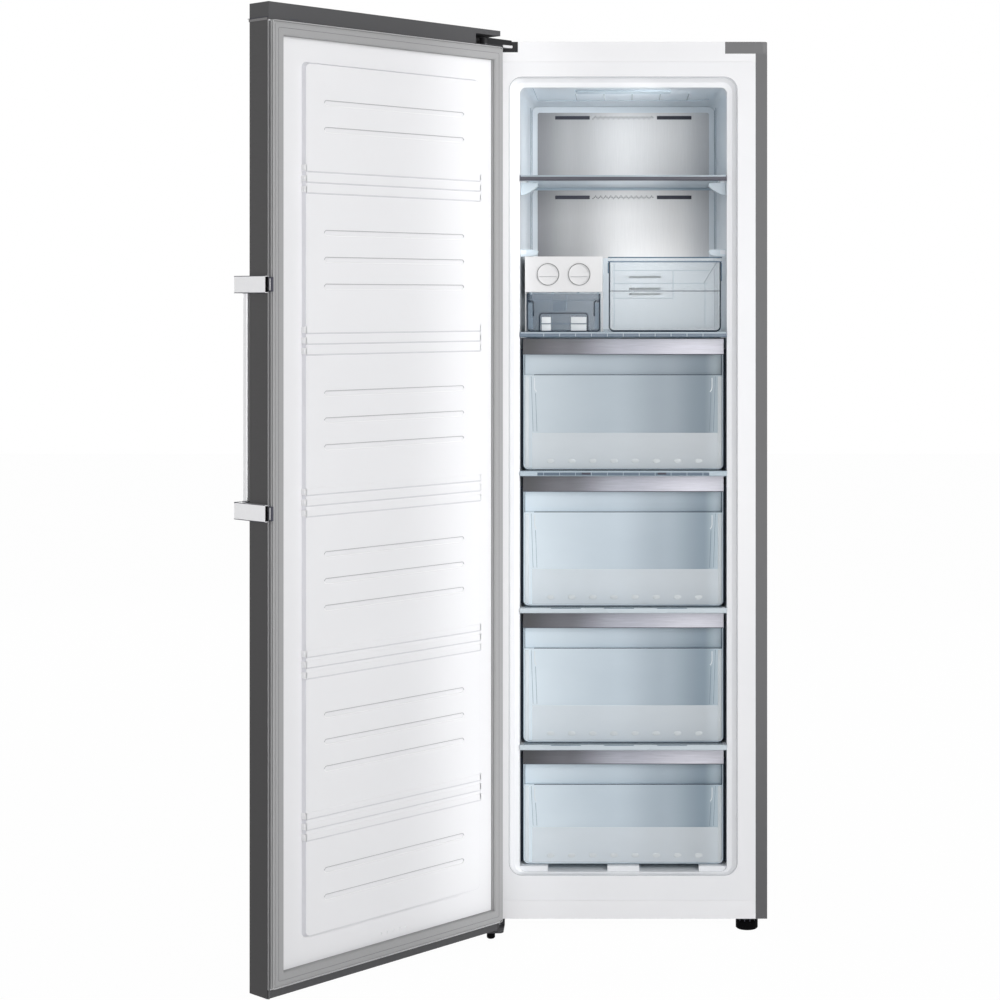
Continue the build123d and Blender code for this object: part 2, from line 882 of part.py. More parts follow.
# ================================================================ feet and rollers
with BuildPart() as front_foot_right:
    # a sole, a ribbed collar to turn it by, and the stem
    for low, high, radius, sides in (
        (0, foot_sole_height, foot_radius, 2 * foot_grips),
        (foot_sole_height, floor_gap - 0.5, foot_radius - 1.5, foot_grips),
    ):
        with BuildSketch(level(low)):
            with Locations((foot_x, foot_y)):
                RegularPolygon(radius, sides)
        extrude(amount=high - low)
    with BuildSketch(level(floor_gap - 0.5)):
        with Locations((foot_x, foot_y)):
            Circle(foot_stem_radius)
    extrude(amount=base_lip / 2 - 0.5)
    chamfer(front_foot_right.edges().group_by(Axis.Z)[0], length=2)
save(front_foot_right, "front_foot_right")

with BuildPart() as front_foot_left:
    with BuildSketch(level(0)):
        with Locations((post_x, hinge_y)):
            RegularPolygon(post_radius, post_sides)
    extrude(amount=tongue_low - 0.3)
    with BuildSketch(level(tongue_low - 0.3)):
        with Locations((post_x, hinge_y)):
            Circle(foot_stem_radius - 1)
    extrude(amount=tongue_high + 1 - tongue_low + 0.3)
    chamfer(front_foot_left.edges().group_by(Axis.Z)[0], length=2)
save(front_foot_left, "front_foot_left")

roller_y = cabinet_depth - roller_setback
for side, name in ((-1, "rear_roller_left"), (1, "rear_roller_right")):
    with BuildPart() as rear_roller:
        with BuildSketch(Plane.YZ.offset(side * roller_x)):
            with Locations((roller_y, roller_radius)):
                Circle(roller_radius)
                Circle(axle_radius + shaft_clearance, mode=Mode.SUBTRACT)
        extrude(amount=roller_width / 2, both=True)
    save(rear_roller, name)

# Roller brackets: a saddle and an axle at each rear corner.
with BuildPart() as roller_brackets:
    for side in (-1, 1):
        cheek = roller_width / 2 + 0.5
        for edge in (-1, 1):
            low, high = sorted((edge * cheek, edge * (cheek + 2)))
            block(
                (side * roller_x + low, roller_y - 12, roller_radius - 5),
                (side * roller_x + high, roller_y + 12, cabinet_bottom),
            )
        block(
            (side * roller_x - cheek, roller_y - 12, 2 * roller_radius + 0.5),
            (side * roller_x + cheek, roller_y + 12, cabinet_bottom),
        )
        with BuildSketch(Plane.YZ.offset(side * roller_x)):
            with Locations((roller_y, roller_radius)):
                Circle(axle_radius)
        extrude(amount=cheek + 2, both=True)
save(roller_brackets, "roller_brackets")

# ================================================================ glass shelves
for number, top in enumerate(shelf_tops, start=1):
    glass_low = top - glass_thickness
    with BuildPart() as glass_shelf:
        block(
            (-glass_half_width, shelf_front + trim_lip, glass_low),
            (glass_half_width, glass_back, top),
        )
    save(glass_shelf, f"glass_shelf_{number}")

    with BuildPart() as shelf_trim:
        trim_half = wall_at(shelf_front + shelf_trim_depth) - 0.5
        with BuildSketch(Plane.YZ):
            with BuildLine():
                Polyline(
                    (shelf_front + 1.5, top),
                    (shelf_front + trim_lip, top),
                    (shelf_front + trim_lip, glass_low),
                    (shelf_front + shelf_trim_depth, glass_low),
                    (shelf_front + shelf_trim_depth, top - shelf_trim_height),
                    (shelf_front + 1.5, top - shelf_trim_height),
                    (shelf_front, top - shelf_trim_height + 1.5),
                    (shelf_front, top - 1.5),
                    close=True,
                )
            make_face()
        extrude(amount=trim_half, both=True)
    save(shelf_trim, f"shelf_trim_{number}")

# ================================================================ drawers
drawer_floors = [top + slide_gap for top in shelf_tops[2:]]
drawer_floors.append(liner_floor + floor_pad_height + slide_gap)
drawer_tops = [top - shelf_trim_height - drawer_play for top in shelf_tops[1:]]
drawer_tops[0] += drawer_play - first_drawer_play
front_thickness = grip_depth + drawer_wall
drawer_depth = duct_front - drawer_back_play - drawer_front
low_drawer_depth = hump_front - low_drawer_back_play - drawer_front

for number, (low, high) in enumerate(zip(drawer_floors, drawer_tops), start=1):
    depth = low_drawer_depth if number == len(drawer_tops) else drawer_depth
    back = drawer_front + depth
    inner_front = drawer_front + drawer_wall
    grip_high = high - strip_height
    grip_low = grip_high - grip_height
    tub_back_half = tub_half_width - tub_taper * depth / drawer_depth

    def tub_plan(inset, front):
        """The tub seen from above."""
        Polygon(
            (-tub_half_width + inset, front),
            (tub_half_width - inset, front),
            (tub_back_half - inset, back - inset),
            (-tub_back_half + inset, back - inset),
            align=None,
        )
        corners = sketch.vertices().group_by(Axis.Y)[-1]
        fillet(corners, radius=drawer_radius + 4 - inset)

    with BuildPart() as drawer_tub:
        with BuildSketch(level(low)) as sketch:
            tub_plan(0.0, drawer_front + 2 * drawer_wall)
        extrude(amount=high - low - 1)
        with BuildSketch(upright(drawer_front)) as sketch:
            panel((-drawer_half_width, low), (drawer_half_width, high))
            fillet(sketch.vertices().group_by(Axis.Y)[0], radius=drawer_radius)
        extrude(amount=-front_thickness)
        with BuildSketch(level(low + drawer_wall)) as sketch:
            tub_plan(drawer_wall, drawer_front + front_thickness)
        extrude(amount=high, mode=Mode.SUBTRACT)
        # hollow the front below and above the finger recess
        reach = drawer_front + front_thickness
        inner_half = tub_half_width - drawer_wall
        block(
            (-inner_half, inner_front, low + drawer_wall),
            (inner_half, reach, grip_low - drawer_wall),
            Mode.SUBTRACT,
        )
        block(
            (-inner_half, inner_front, grip_high + drawer_wall),
            (inner_half, reach, high + 1),
            Mode.SUBTRACT,
        )
        # the finger recess under the steel strip
        block(
            (-drawer_half_width + drawer_wall, drawer_front - 1, grip_low),
            (drawer_half_width - drawer_wall, drawer_front + grip_depth, grip_high),
            Mode.SUBTRACT,
        )
    save(drawer_tub, f"drawer_tub_{number}")

    with BuildPart() as drawer_strip:
        block(
            (-drawer_half_width, drawer_front - strip_sheet, grip_high),
            (drawer_half_width, drawer_front, high),
        )
        front_edges = drawer_strip.edges().filter_by(Axis.X).group_by(Axis.Y)[0]
        chamfer(front_edges, length=strip_sheet * 0.6)
    save(drawer_strip, f"drawer_strip_{number}")

# ================================================================ ice maker
shelf_face = shelf_tops[1]
ice_middle = (ice_left + ice_right) / 2
knob_places = [ice_middle - tray_pitch / 2, ice_middle + tray_pitch / 2]
with BuildPart() as ice_maker_housing:
    block((ice_left, ice_front, ice_bottom), (ice_right, ice_front + ice_depth, ice_top))
    for place in knob_places:
        cell = tray_pitch / 2 - ice_wall / 2
        block(
            (place - cell, ice_front + ice_wall, ice_bottom - 1),
            (place + cell, ice_front + ice_depth - ice_wall, ice_top - ice_wall),
            Mode.SUBTRACT,
        )
    with BuildSketch(upright(ice_front)):
        for place in knob_places:
            with Locations((place, tray_axis_height)):
                Circle(knob_radius + knob_gap)
    extrude(amount=-ice_wall, mode=Mode.SUBTRACT)
    for low in (ice_left, ice_right - leg_width):
        leg_front = ice_front + leg_setback
        block(
            (low, leg_front, shelf_face),
            (low + leg_width, leg_front + leg_depth, ice_bottom),
        )
        block(
            (low - 1, leg_front + leg_setback, shelf_face + leg_setback),
            (low + leg_width + 1, leg_front + leg_depth - leg_setback, ice_bottom - leg_setback),
            Mode.SUBTRACT,
        )
save(ice_maker_housing, "ice_maker_housing")

# Twist trays: a row of ice cells behind a round knob with a grip bar.
cell_pitch = (tray_length - tray_wall) / tray_cells
for place, name in zip(knob_places, ("twist_tray_left", "twist_tray_right")):
    with BuildPart() as twist_tray:
        tray_front = ice_front + ice_wall + 10
        with BuildSketch(upright(ice_front - knob_proud)):
            with Locations((place, tray_axis_height)):
                Circle(knob_radius)
        extrude(amount=-(knob_proud + ice_wall + 8))
        with BuildSketch(upright(ice_front)):
            with Locations((place, tray_axis_height)):
                Rectangle(tray_height - 4, tray_height - 4)
        extrude(amount=-(tray_front + tray_wall - ice_front))
        with BuildSketch(upright(ice_front - knob_proud)):
            with Locations((place, tray_axis_height)):
                RegularPolygon(knob_radius - knob_rim, knob_pocket_sides)
                Rectangle(2 * knob_radius, knob_bar, mode=Mode.SUBTRACT)
        extrude(amount=-4, mode=Mode.SUBTRACT)
        low_z = tray_axis_height - tray_height / 2
        block(
            (place - tray_width / 2, tray_front, low_z),
            (place + tray_width / 2, tray_front + tray_length, low_z + tray_height),
        )
        lowest = twist_tray.edges().filter_by(Axis.Y).group_by(Axis.Z)[0]
        chamfer(lowest, length=2)
        # the common space over the cells, then the cells
        block(
            (place - tray_width / 2 + tray_wall, tray_front + tray_wall, low_z + 16),
            (
                place + tray_width / 2 - tray_wall,
                tray_front + tray_length - tray_wall,
                low_z + tray_height + 1,
            ),
            Mode.SUBTRACT,
        )
        with BuildSketch(level(low_z + 16)):
            with Locations((place, tray_front + tray_length / 2)):
                with GridLocations(tray_width / 2 - 1, cell_pitch, 2, tray_cells):
                    Rectangle(tray_width / 2 - 4, cell_pitch - 2)
        extrude(amount=-13, mode=Mode.SUBTRACT)
    save(twist_tray, name)

# Ice bucket under the trays, with a moulded pull.
bucket_floor = shelf_face + slide_gap
bucket_left = ice_middle - bucket_width / 2
bucket_right = ice_middle + bucket_width / 2
with BuildPart() as ice_bucket:
    bucket_front = ice_front + 2
    with BuildSketch(level(bucket_floor)):
        panel((bucket_left, bucket_front), (bucket_right, bucket_front + bucket_depth), 8)
    extrude(amount=bucket_height)
    with BuildSketch(level(bucket_floor + drawer_wall)):
        panel(
            (bucket_left + drawer_wall, bucket_front + drawer_wall),
            (bucket_right - drawer_wall, bucket_front + bucket_depth - drawer_wall),
            8 - drawer_wall,
        )
    extrude(amount=bucket_height, mode=Mode.SUBTRACT)
    with BuildSketch(upright(bucket_front)) as sketch:
        panel(
            (ice_middle - pull_width / 2, bucket_floor),
            (ice_middle + pull_width / 2, bucket_floor + pull_height),
        )
        fillet(sketch.vertices().group_by(Axis.Y)[-1], radius=5)
    extrude(amount=pull_depth)
save(ice_bucket, "ice_bucket")

# Small clear drawer beside the ice maker.
with BuildPart() as small_drawer:
    small_floor = shelf_face + slide_gap
    small_top = small_floor + small_height
    with BuildSketch(upright(ice_front)) as sketch:
        panel((small_left + small_step, small_floor), (small_right - small_step, small_top))
        fillet(sketch.vertices().group_by(Axis.Y)[0], radius=10)
    extrude(amount=-small_depth)
    with BuildSketch(upright(ice_front)):
        panel((small_left, small_top - small_rim), (small_right, small_top))
    extrude(amount=-small_depth)
    with BuildSketch(upright(ice_front + drawer_wall)) as sketch:
        panel(
            (small_left + small_step + drawer_wall, small_floor + drawer_wall),
            (small_right - small_step - drawer_wall, small_top + 1),
        )
        fillet(sketch.vertices().group_by(Axis.Y)[0], radius=10 - drawer_wall)
    extrude(amount=-(small_depth - 2 * drawer_wall), mode=Mode.SUBTRACT)
save(small_drawer, "small_drawer")

# ================================================================ door
# Door skin: one folded sheet with a lip along each side of the back.
with BuildPart() as door_skin:
    with BuildSketch(level(door_bottom)) as sketch:
        panel((-half_width, door_face), (half_width, skin_back))
        fillet(sketch.vertices().group_by(Axis.Y)[0], radius=door_edge_radius)
        with BuildSketch(mode=Mode.SUBTRACT) as inside:
            panel(
                (-inside_half, door_face + steel_sheet),
                (inside_half, skin_back - steel_sheet),
            )
            fillet(
                inside.vertices().group_by(Axis.Y)[0],
                radius=door_edge_radius - steel_sheet,
            )
        panel(
            (-half_width + door_lip, skin_back - 2 * steel_sheet),
            (half_width - door_lip, skin_back),
            mode=Mode.SUBTRACT,
        )
    extrude(amount=door_cap_line - door_bottom)
save_swung(door_skin, "door_skin")

# Door foam, with a hole for each hinge bush.
bush_length = pin_length + 2
with BuildPart() as door_foam:
    with BuildSketch(level(door_foot_line)) as sketch:
        panel(
            (-inside_half, door_face + steel_sheet),
            (inside_half, skin_back - steel_sheet),
        )
        fillet(
            sketch.vertices().group_by(Axis.Y)[0],
            radius=door_edge_radius - steel_sheet,
        )
        panel(
            (-half_width + door_lip, skin_back - 2 * steel_sheet),
            (half_width - door_lip, skin_back),
        )
    extrude(amount=door_cap_line - door_foot_line)
    add(field_inside)
    with BuildSketch(level(door_bottom)):
        with Locations((hinge_x, hinge_y)):
            Circle(bush_radius)
    extrude(amount=bush_length, mode=Mode.SUBTRACT)
    with BuildSketch(level(door_cap_line + cap_floor)):
        with Locations((hinge_x, hinge_y)):
            Circle(bush_radius)
    extrude(amount=-bush_length, mode=Mode.SUBTRACT)
save_swung(door_foam, "door_foam")

# Door liner: a flat margin, a raised field with grooves, and bands of three bars.
bands = [panel_high - band_drop - band_pitch * step for step in range(band_count)]
groove_rows = [(panel_high - top_groove_drop, bar_count - 1)]
groove_rows += [(band - band_pitch / 2, bar_count) for band in bands[:-1]]
groove_rows.append((panel_low + bottom_groove_rise, bar_count - 1))
with BuildPart() as door_liner:
    with BuildSketch(upright(door_back)):
        panel(
            (-inside_half, door_foot_line),
            (inside_half, door_cap_line),
        )
    extrude(amount=door_liner_wall)
    add(field_outside)
    for band in bands:
        with BuildSketch(upright(door_back)):
            with Locations((panel_middle, band)):
                with GridLocations(0, bar_pitch, 1, bar_count):
                    Rectangle(2 * (panel_half_width - bar_inset), bar_height)
        extrude(amount=-(panel_raise + bar_raise))
    add(field_inside, mode=Mode.SUBTRACT)
    with BuildSketch(upright(door_back + panel_raise)):
        for middle, count in groove_rows:
            with Locations((panel_middle, middle)):
                with GridLocations(0, groove_pitch, 1, count):
                    cut_corner_panel(groove_length, groove_height, groove_height / 3)
    extrude(amount=groove_sink, mode=Mode.SUBTRACT)
    with BuildSketch(upright(door_back)):
        with Locations((-vent_pitch / 2, vent_height)):
            with GridLocations(vent_pitch, 0, vent_count, 1):
                RegularPolygon(vent_radius, vent_sides)
    extrude(amount=groove_sink, mode=Mode.SUBTRACT)
save_swung(door_liner, "door_liner")

# Door gasket: a bellows frame with a crowned sealing face.
# Each layer: where it starts and ends, and how far its sides, ends and window are drawn in.
gasket_layers = [
    (0.0, 1.0, 0.0, 0.0, 0.0),
    (1.0, 3.3, 8.0, 9.0, 7.0),
    (3.3, 5.8, 0.0, 2.0, 0.0),
    (5.8, 8.5, 8.0, 9.0, 7.0),
    (8.5, 10.2, 0.0, 4.5, 0.0),
    (10.2, door_gap - gasket_play, 4.5, 7.5, 1.5),
]
with BuildPart() as door_gasket:
    gasket_half = half_width - gasket_inset
    window_half = gasket_half - gasket_side_width
    window_low = gasket_low + gasket_end_width
    window_high = door_cap_line - gasket_end_width
    for start, end, side_inset, end_inset, recess in gasket_layers:
        with BuildSketch(upright(door_back + start)):
            panel(
                (-gasket_half + side_inset, gasket_low + end_inset),
                (gasket_half - side_inset, door_cap_line - end_inset),
            )
            panel(
                (-window_half - recess, window_low - recess),
                (window_half + recess, window_high + recess),
                mode=Mode.SUBTRACT,
            )
        extrude(amount=-(end - start))
save_swung(door_gasket, "door_gasket")

# Top cap, notched at the hinge end for the hinge arm.
notch_right = -half_width + hinge_notch_length
cap_split = half_width - corner_cap_length
with BuildPart() as door_cap_top:
    block((-half_width, door_face, door_cap_line), (cap_split, door_back, door_top))
    front_edge = door_cap_top.edges().filter_by(Axis.Z).group_by(Axis.X)[0].sort_by(Axis.Y)[0]
    fillet(front_edge, radius=door_edge_radius)
    block(
        (
            notch_right + door_cap_wall,
            door_face + door_cap_wall,
            door_cap_line + cap_floor,
        ),
        (cap_split - door_cap_wall, door_back - door_cap_wall, door_top - door_cap_wall),
        Mode.SUBTRACT,
    )
    block(
        (-half_width, door_face + door_cap_wall, door_cap_line + cap_floor),
        (notch_right, door_back, door_cap_line + hinge_notch_height),
        Mode.SUBTRACT,
    )
    with BuildSketch(level(door_cap_line)):
        with Locations((hinge_x, hinge_y)):
            Circle(bush_radius)
    extrude(amount=cap_floor, mode=Mode.SUBTRACT)
save_swung(door_cap_top, "door_cap_top")

with BuildPart() as door_cap_corner:
    block((cap_split, door_face, door_cap_line), (half_width, door_back, door_top))
    front_edge = door_cap_corner.edges().filter_by(Axis.Z).group_by(Axis.X)[-1].sort_by(Axis.Y)[0]
    fillet(front_edge, radius=door_edge_radius)
    block(
        (cap_split + 2, door_face + door_cap_wall, door_cap_line + cap_floor),
        (
            half_width - door_cap_wall,
            door_back - door_cap_wall,
            door_top - door_cap_wall,
        ),
        Mode.SUBTRACT,
    )
save_swung(door_cap_corner, "door_cap_corner")

# Bottom cap, a channel between the skin's walls.
with BuildPart() as door_cap_bottom:
    cap_half = half_width - door_lip
    cap_front = door_face + steel_sheet
    with BuildSketch(level(door_bottom)) as sketch:
        panel((-inside_half, cap_front), (inside_half, skin_back - steel_sheet))
        fillet(
            sketch.vertices().group_by(Axis.Y)[0],
            radius=door_edge_radius - steel_sheet,
        )
        panel((-cap_half, cap_front + door_edge_radius), (cap_half, skin_back))
    extrude(amount=door_foot_height)
    block(
        (
            -inside_half + door_cap_wall,
            cap_front + door_cap_wall,
            door_bottom + cap_floor,
        ),
        (
            inside_half - door_cap_wall,
            skin_back - steel_sheet - door_cap_wall,
            door_foot_line,
        ),
        Mode.SUBTRACT,
    )
    with BuildSketch(level(door_bottom)):
        with Locations((hinge_x, hinge_y)):
            Rectangle(2 * (bush_radius + door_cap_wall), 2 * (bush_radius + door_cap_wall))
    extrude(amount=door_foot_height)
    with BuildSketch(level(door_bottom)):
        with Locations((hinge_x, hinge_y)):
            Circle(bush_radius)
    extrude(amount=door_foot_height, mode=Mode.SUBTRACT)
save_swung(door_cap_bottom, "door_cap_bottom")

# Hinge bushes in the door's two ends.
with BuildPart() as hinge_bushes:
    for low in (door_bottom, door_cap_line + cap_floor - bush_length):
        with BuildSketch(level(low)):
            with Locations((hinge_x, hinge_y)):
                RegularPolygon(bush_radius, bush_sides)
                Circle(pin_radius + shaft_clearance, mode=Mode.SUBTRACT)
        extrude(amount=bush_length)
save_swung(hinge_bushes, "hinge_bushes")

# Handle: two arms that wrap the door's free edge, and an upright bar between them.
handle_outer = half_width + handle_sheet
handle_tip = door_face - handle_reach
bar_right = handle_outer - handle_bar_inset
bar_left = bar_right - handle_bar_width
with BuildPart() as handle_arms:
    for low in (lower_arm, upper_arm):
        with BuildSketch(level(low)) as sketch:
            with BuildLine():
                Polyline(
                    (half_width, door_back),
                    (handle_outer, door_back),
                    (handle_outer, handle_tip),
                    (bar_left, handle_tip),
                    (bar_left, handle_tip + handle_bar_depth),
                    (half_width, handle_tip + handle_bar_depth),
                    close=True,
                )
            make_face()
            corner = sketch.vertices().group_by(Axis.Y)[0].sort_by(Axis.X)[-1]
            chamfer(corner, length=2)
        extrude(amount=arm_height)
        # the arm is hollow at its back end, beside the tab that grips the door's edge
        block(
            (half_width + handle_wall, door_back - handle_pocket, low + handle_wall),
            (handle_outer - handle_wall, door_back, low + arm_height - handle_wall),
            Mode.SUBTRACT,
        )
        clip_low = low + (arm_height - clip_height) / 2
        block(
            (half_width - clip_cover, door_back, clip_low),
            (half_width + handle_wall, door_back + clip_reach, clip_low + clip_height),
        )
save_swung(handle_arms, "handle_arms")

with BuildPart() as handle_bar:
    block(
        (bar_left, handle_tip, lower_arm + arm_height),
        (bar_right, handle_tip + handle_bar_depth, upper_arm),
    )
    fillet(handle_bar.edges().filter_by(Axis.Z), radius=3)
save_swung(handle_bar, "handle_bar")
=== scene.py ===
"""Looks for an upright freezer with its door open: finishes and small pieces on the CAD frame."""

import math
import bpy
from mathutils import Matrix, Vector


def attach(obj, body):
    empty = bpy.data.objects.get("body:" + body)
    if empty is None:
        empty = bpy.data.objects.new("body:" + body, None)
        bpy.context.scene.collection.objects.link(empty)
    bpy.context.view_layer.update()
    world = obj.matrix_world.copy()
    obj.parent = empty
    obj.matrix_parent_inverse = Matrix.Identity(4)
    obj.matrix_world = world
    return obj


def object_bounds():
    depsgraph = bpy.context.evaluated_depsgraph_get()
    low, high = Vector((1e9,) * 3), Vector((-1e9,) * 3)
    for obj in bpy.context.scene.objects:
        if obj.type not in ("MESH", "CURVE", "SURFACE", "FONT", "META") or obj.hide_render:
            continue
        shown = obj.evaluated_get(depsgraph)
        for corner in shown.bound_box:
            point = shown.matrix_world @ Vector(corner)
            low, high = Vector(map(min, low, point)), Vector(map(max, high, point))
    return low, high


bl_info = {
    "name": "Upright freezer looks",
    "version": (1, 0, 0),
    "blender": (4, 5, 0),
    "location": "View3D > Sidebar > Freezer",
    "description": "Finishes, small fittings and a studio for an upright freezer",
    "category": "Object",
}

import bmesh
import bpy
from bpy.props import FloatProperty, FloatVectorProperty, IntProperty, PointerProperty
from mathutils import Matrix, Vector

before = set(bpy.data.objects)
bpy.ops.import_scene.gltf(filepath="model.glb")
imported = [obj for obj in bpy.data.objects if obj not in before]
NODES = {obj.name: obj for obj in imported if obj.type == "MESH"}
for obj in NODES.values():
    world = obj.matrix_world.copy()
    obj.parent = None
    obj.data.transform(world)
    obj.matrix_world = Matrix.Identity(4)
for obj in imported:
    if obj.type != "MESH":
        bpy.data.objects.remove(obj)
CAD_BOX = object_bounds()

MM = 0.001
SIDES = (-1, 1)
OPEN_ANGLE = math.radians(132.35)
SHARP_ANGLE = math.radians(35)
HINGE = Vector((-283.5, -43.0, 0.0)) * MM
DOOR_TURN = (
    Matrix.Translation(HINGE)
    @ Matrix.Rotation(-OPEN_ANGLE, 4, "Z")
    @ Matrix.Translation(-HINGE)
)

# sizes and places in mm, those of the door for the shut door
SHELF_TOPS = (1565.0, 1240.0, 952.0, 668.0, 384.0)
SUPPORT_TOPS = (1565.0, 1412.0)
DRAWERS = {
    "drawer_1": (952.3, 1226.0), "drawer_2": (668.3, 940.0),
    "drawer_3": (384.3, 656.0), "drawer_4": (130.3, 372.0),
}
DRAWER_FRONT = 38.0
DRAWER_HALF = 209.0
STRIP_TALL = 33.0
GRIP_TALL = 43.0
# profile and squash of painted highlights low on each drawer front, reflections of the ribs under
# the floor
RIB_GLINT = ((0.5, -0.5), (5.0, -0.4), (8.0, -0.1), (8.3, 0.1))
RIB_GLINT_SQUASH = 0.62
SMALL_DRAWER = (-33.0, 206.5, 1240.3, 1396.0)
SMALL_DRAWER_FRONT = 39.5
MID_LINE = 1325.0
ICE_HOUSING = (-205.0, -44.0, 1323.0)
BUCKET_FRONT = 41.0
PULL_FRONT = 36.6
KNOBS = {"twist_left": -157.0, "twist_right": -92.0}
KNOB_HEIGHT = 1359.7
PLATE_FRONT = 453.8
AIR_SLOTS = (1722.0, 1540.5)
SLOT_MIDDLE = 116.0
PINHOLES = 48
PINHOLE_SWING = 2.9
CEILING = 1746.8
MOUTH = (-236.0, 236.0, 116.5, 1767.5)
FIELD = (-233.5, 219.5, 117.0, 1750.0)
GROOVES = (-186.5, 172.5)
GROOVE_REACH = 4.9
GROOVE_GROUPS = (
    (1650.9, 2), (1381.5, 3), (1079.5, 3), (777.5, 3), (475.5, 3), (209.2, 2),
)
GROOVE_PITCH = 50.5
BAND_MIDDLES = (1532.5, 1230.5, 928.5, 626.5, 324.5)
BAR_PITCH = 20.0
LINER_FOOT = -12.0
CAP_SEAM = 1827.2
ARM_LOWS = (897.5, 1319.0)
ARM_TALL = 31.2
HANDLE_MIDDLE = 1123.0
COVER_TOP = 305.0
COVER_SCREWS = 4
COVER_PITCH = 180.0
SCREW_SIDE = 288.0
SCREW_HEIGHTS = (380.0, 1760.0)
FOOT = (257.0, 32.0)
COLLAR_RADIUS = 21.6
NOTCHES = 12

# the studio, in metres, degrees and watts:
# name, place, aim, wide, tall, spread, power
LAMPS = (
    ("key", (2.4, -3.4, 2.8), (-0.1, 0.2, 0.95), 2.3, 2.3, 180, 76.0),
    ("front", (0.5, -4.9, 1.2), (0.0, 0.3, 0.95), 2.0, 2.0, 180, 52.0),
    ("fill", (-2.6, -3.6, 1.6), (-0.4, -0.2, 0.9), 2.2, 2.2, 180, 14.0),
    ("left strip", (0.34, -1.9, 0.98), (-0.29, -0.02, 0.98), 0.12, 1.9, 12, 0.45),
    ("upper inside", (0.13, 0.03, 1.66), (-0.2, 0.3, 1.63), 0.14, 0.14, 100, 0.23),
    ("second inside", (0.13, 0.03, 1.48), (-0.2, 0.3, 1.46), 0.12, 0.12, 100, 0.22),
    ("over the small drawer", (0.08, 0.16, 1.41), (0.09, 0.36, 1.26), 0.14, 0.08, 100, 0.12),
    ("ceiling lamp", (0.0, 0.09, 1.735), (0.0, 0.3, 1.3), 0.12, 0.12, 150, 0.05),
    ("second ceiling", (0.0, 0.09, 1.53), (0.0, 0.32, 1.3), 0.12, 0.12, 150, 0.07),
    ("back left", (-2.8, 4.2, 2.4), (0.0, 0.3, 1.0), 2.4, 2.4, 180, 50.0),
    ("back right", (3.0, 3.4, 1.8), (0.0, 0.3, 0.9), 2.4, 2.4, 180, 40.0),
)
WORLD_LIGHT = 0.27
FLOOR_GLOW = 0.985
FLOOR_HALF = 14
CAMERA_PLACE = (0.0, -4.445, 1.3025)
CAMERA_LENS = 77.4
CAMERA_SHIFT = (-0.1233, -0.1982)
SENSOR_WIDTH = 36.0


# ---- colours and sizes
def shade(red, green, blue):
    """A screen colour from 0 to 255 as the linear colour that shaders take."""
    out = []
    for value in (red, green, blue):
        c = value / 255
        out.append(c / 12.92 if c <= 0.04045 else ((c + 0.055) / 1.055) ** 2.4)
    return (*out, 1.0)


def dim(colour, factor):
    """A linear colour made darker, or lighter with a factor over 1."""
    return (colour[0] * factor, colour[1] * factor, colour[2] * factor, 1.0)


def colour_prop(name, words, rgb):
    """A colour property from a screen colour."""
    return FloatVectorProperty(
        name=name, description=words, subtype="COLOR", size=4, min=0.0, max=1.0,
        default=shade(*rgb),
    )


def length_prop(name, words, size):
    """A length property from a size in mm."""
    return FloatProperty(name=name, description=words, default=size * MM, unit="LENGTH")


class FreezerColours(bpy.types.PropertyGroup):
    """Colours of the freezer's finishes."""

    cabinet_steel: colour_prop("Cabinet steel", "Outer sides and front flanges", (98, 98, 99))
    # darker than the cabinet steel: partly the door's own finish, partly painted shade of its skin
    door_steel: colour_prop("Door steel", "Folded skin of the door", (70, 69, 70))
    white_frame: colour_prop("White frame", "Front frame of the cabinet", (240, 240, 242))
    door_white: colour_prop("Door white", "Lining of the door", (240, 240, 242))
    # a cool white: partly the lining's own tint, partly painted shade of the inside
    cool_white: colour_prop("Cool white", "Lining inside the compartment", (226, 232, 237))
    gasket_grey: colour_prop("Gasket", "Soft seal round the door", (165, 165, 166))
    steel_plate: colour_prop("Steel plate", "Brushed plate at the back", (222, 222, 223))
    strip_steel: colour_prop("Drawer strips", "Brushed strip of each drawer", (208, 209, 215))
    cap_dark: colour_prop("Caps", "Plastic caps of the door", (68, 68, 70))
    clear_tint: colour_prop("Clear plastic", "Tint of the small drawer", (240, 248, 252))
    tub_tint: colour_prop("Drawer plastic", "Milky plastic of the drawers", (232, 244, 252))
    edge_blue: colour_prop("Plastic edges", "Thick edges of clear plastic", (96, 121, 143))
    handle_grey: colour_prop("Handle", "Bar and arms of the handle", (250, 250, 252))


class FreezerSizes(bpy.types.PropertyGroup):
    """Sizes of the small pieces."""

    edge_bead: length_prop("Edge bead", "Radius of the drawers' thick edges", 1.1)
    pinhole: length_prop("Pinhole", "Radius of the holes in the steel plate", 1.3)
    pinhole_pitch: length_prop("Pinhole pitch", "Step from one pinhole to the next", 2.9)
    screw_head: length_prop("Screw head", "Radius of the screw heads", 3.6)
    back_screws: IntProperty(
        name="Back screws", description="Screws down each edge of the back", default=7, min=2,
    )


# ---- materials
WHITE = (1, 1, 1, 1)
UPRIGHT_LINES = (8.0, 8.0, 0.2)
LEVEL_LINES = (0.2, 9.0, 9.0)
FINISHES = {}


class Graph:
    """A node tree, with a short way to add nodes that are already joined."""

    def __init__(self, tree):
        self.tree = tree
        tree.nodes.clear()

    def join(self, start, end):
        """A link from an output to an input."""
        self.tree.links.new(start, end)

    def node(self, kind, **values):
        """A new node. Each value sets or joins the input of its name, with _ for a space."""
        made = self.tree.nodes.new(kind)
        for key, value in values.items():
            title = key.replace("_", " ")
            if title not in made.inputs:
                setattr(made, key, value)
            elif isinstance(value, bpy.types.NodeSocket):
                self.join(value, made.inputs[title])
            else:
                made.inputs[title].default_value = value
        return made

    def blend(self, share, first, second, kind):
        """Two shaders mixed by a share, into an output node of a kind."""
        mix = self.node("ShaderNodeMixShader")
        for socket, value in zip(mix.inputs, (share, first.outputs[0], second.outputs[0])):
            self.join(value, socket)
        self.join(mix.outputs[0], self.node(kind).inputs[0])


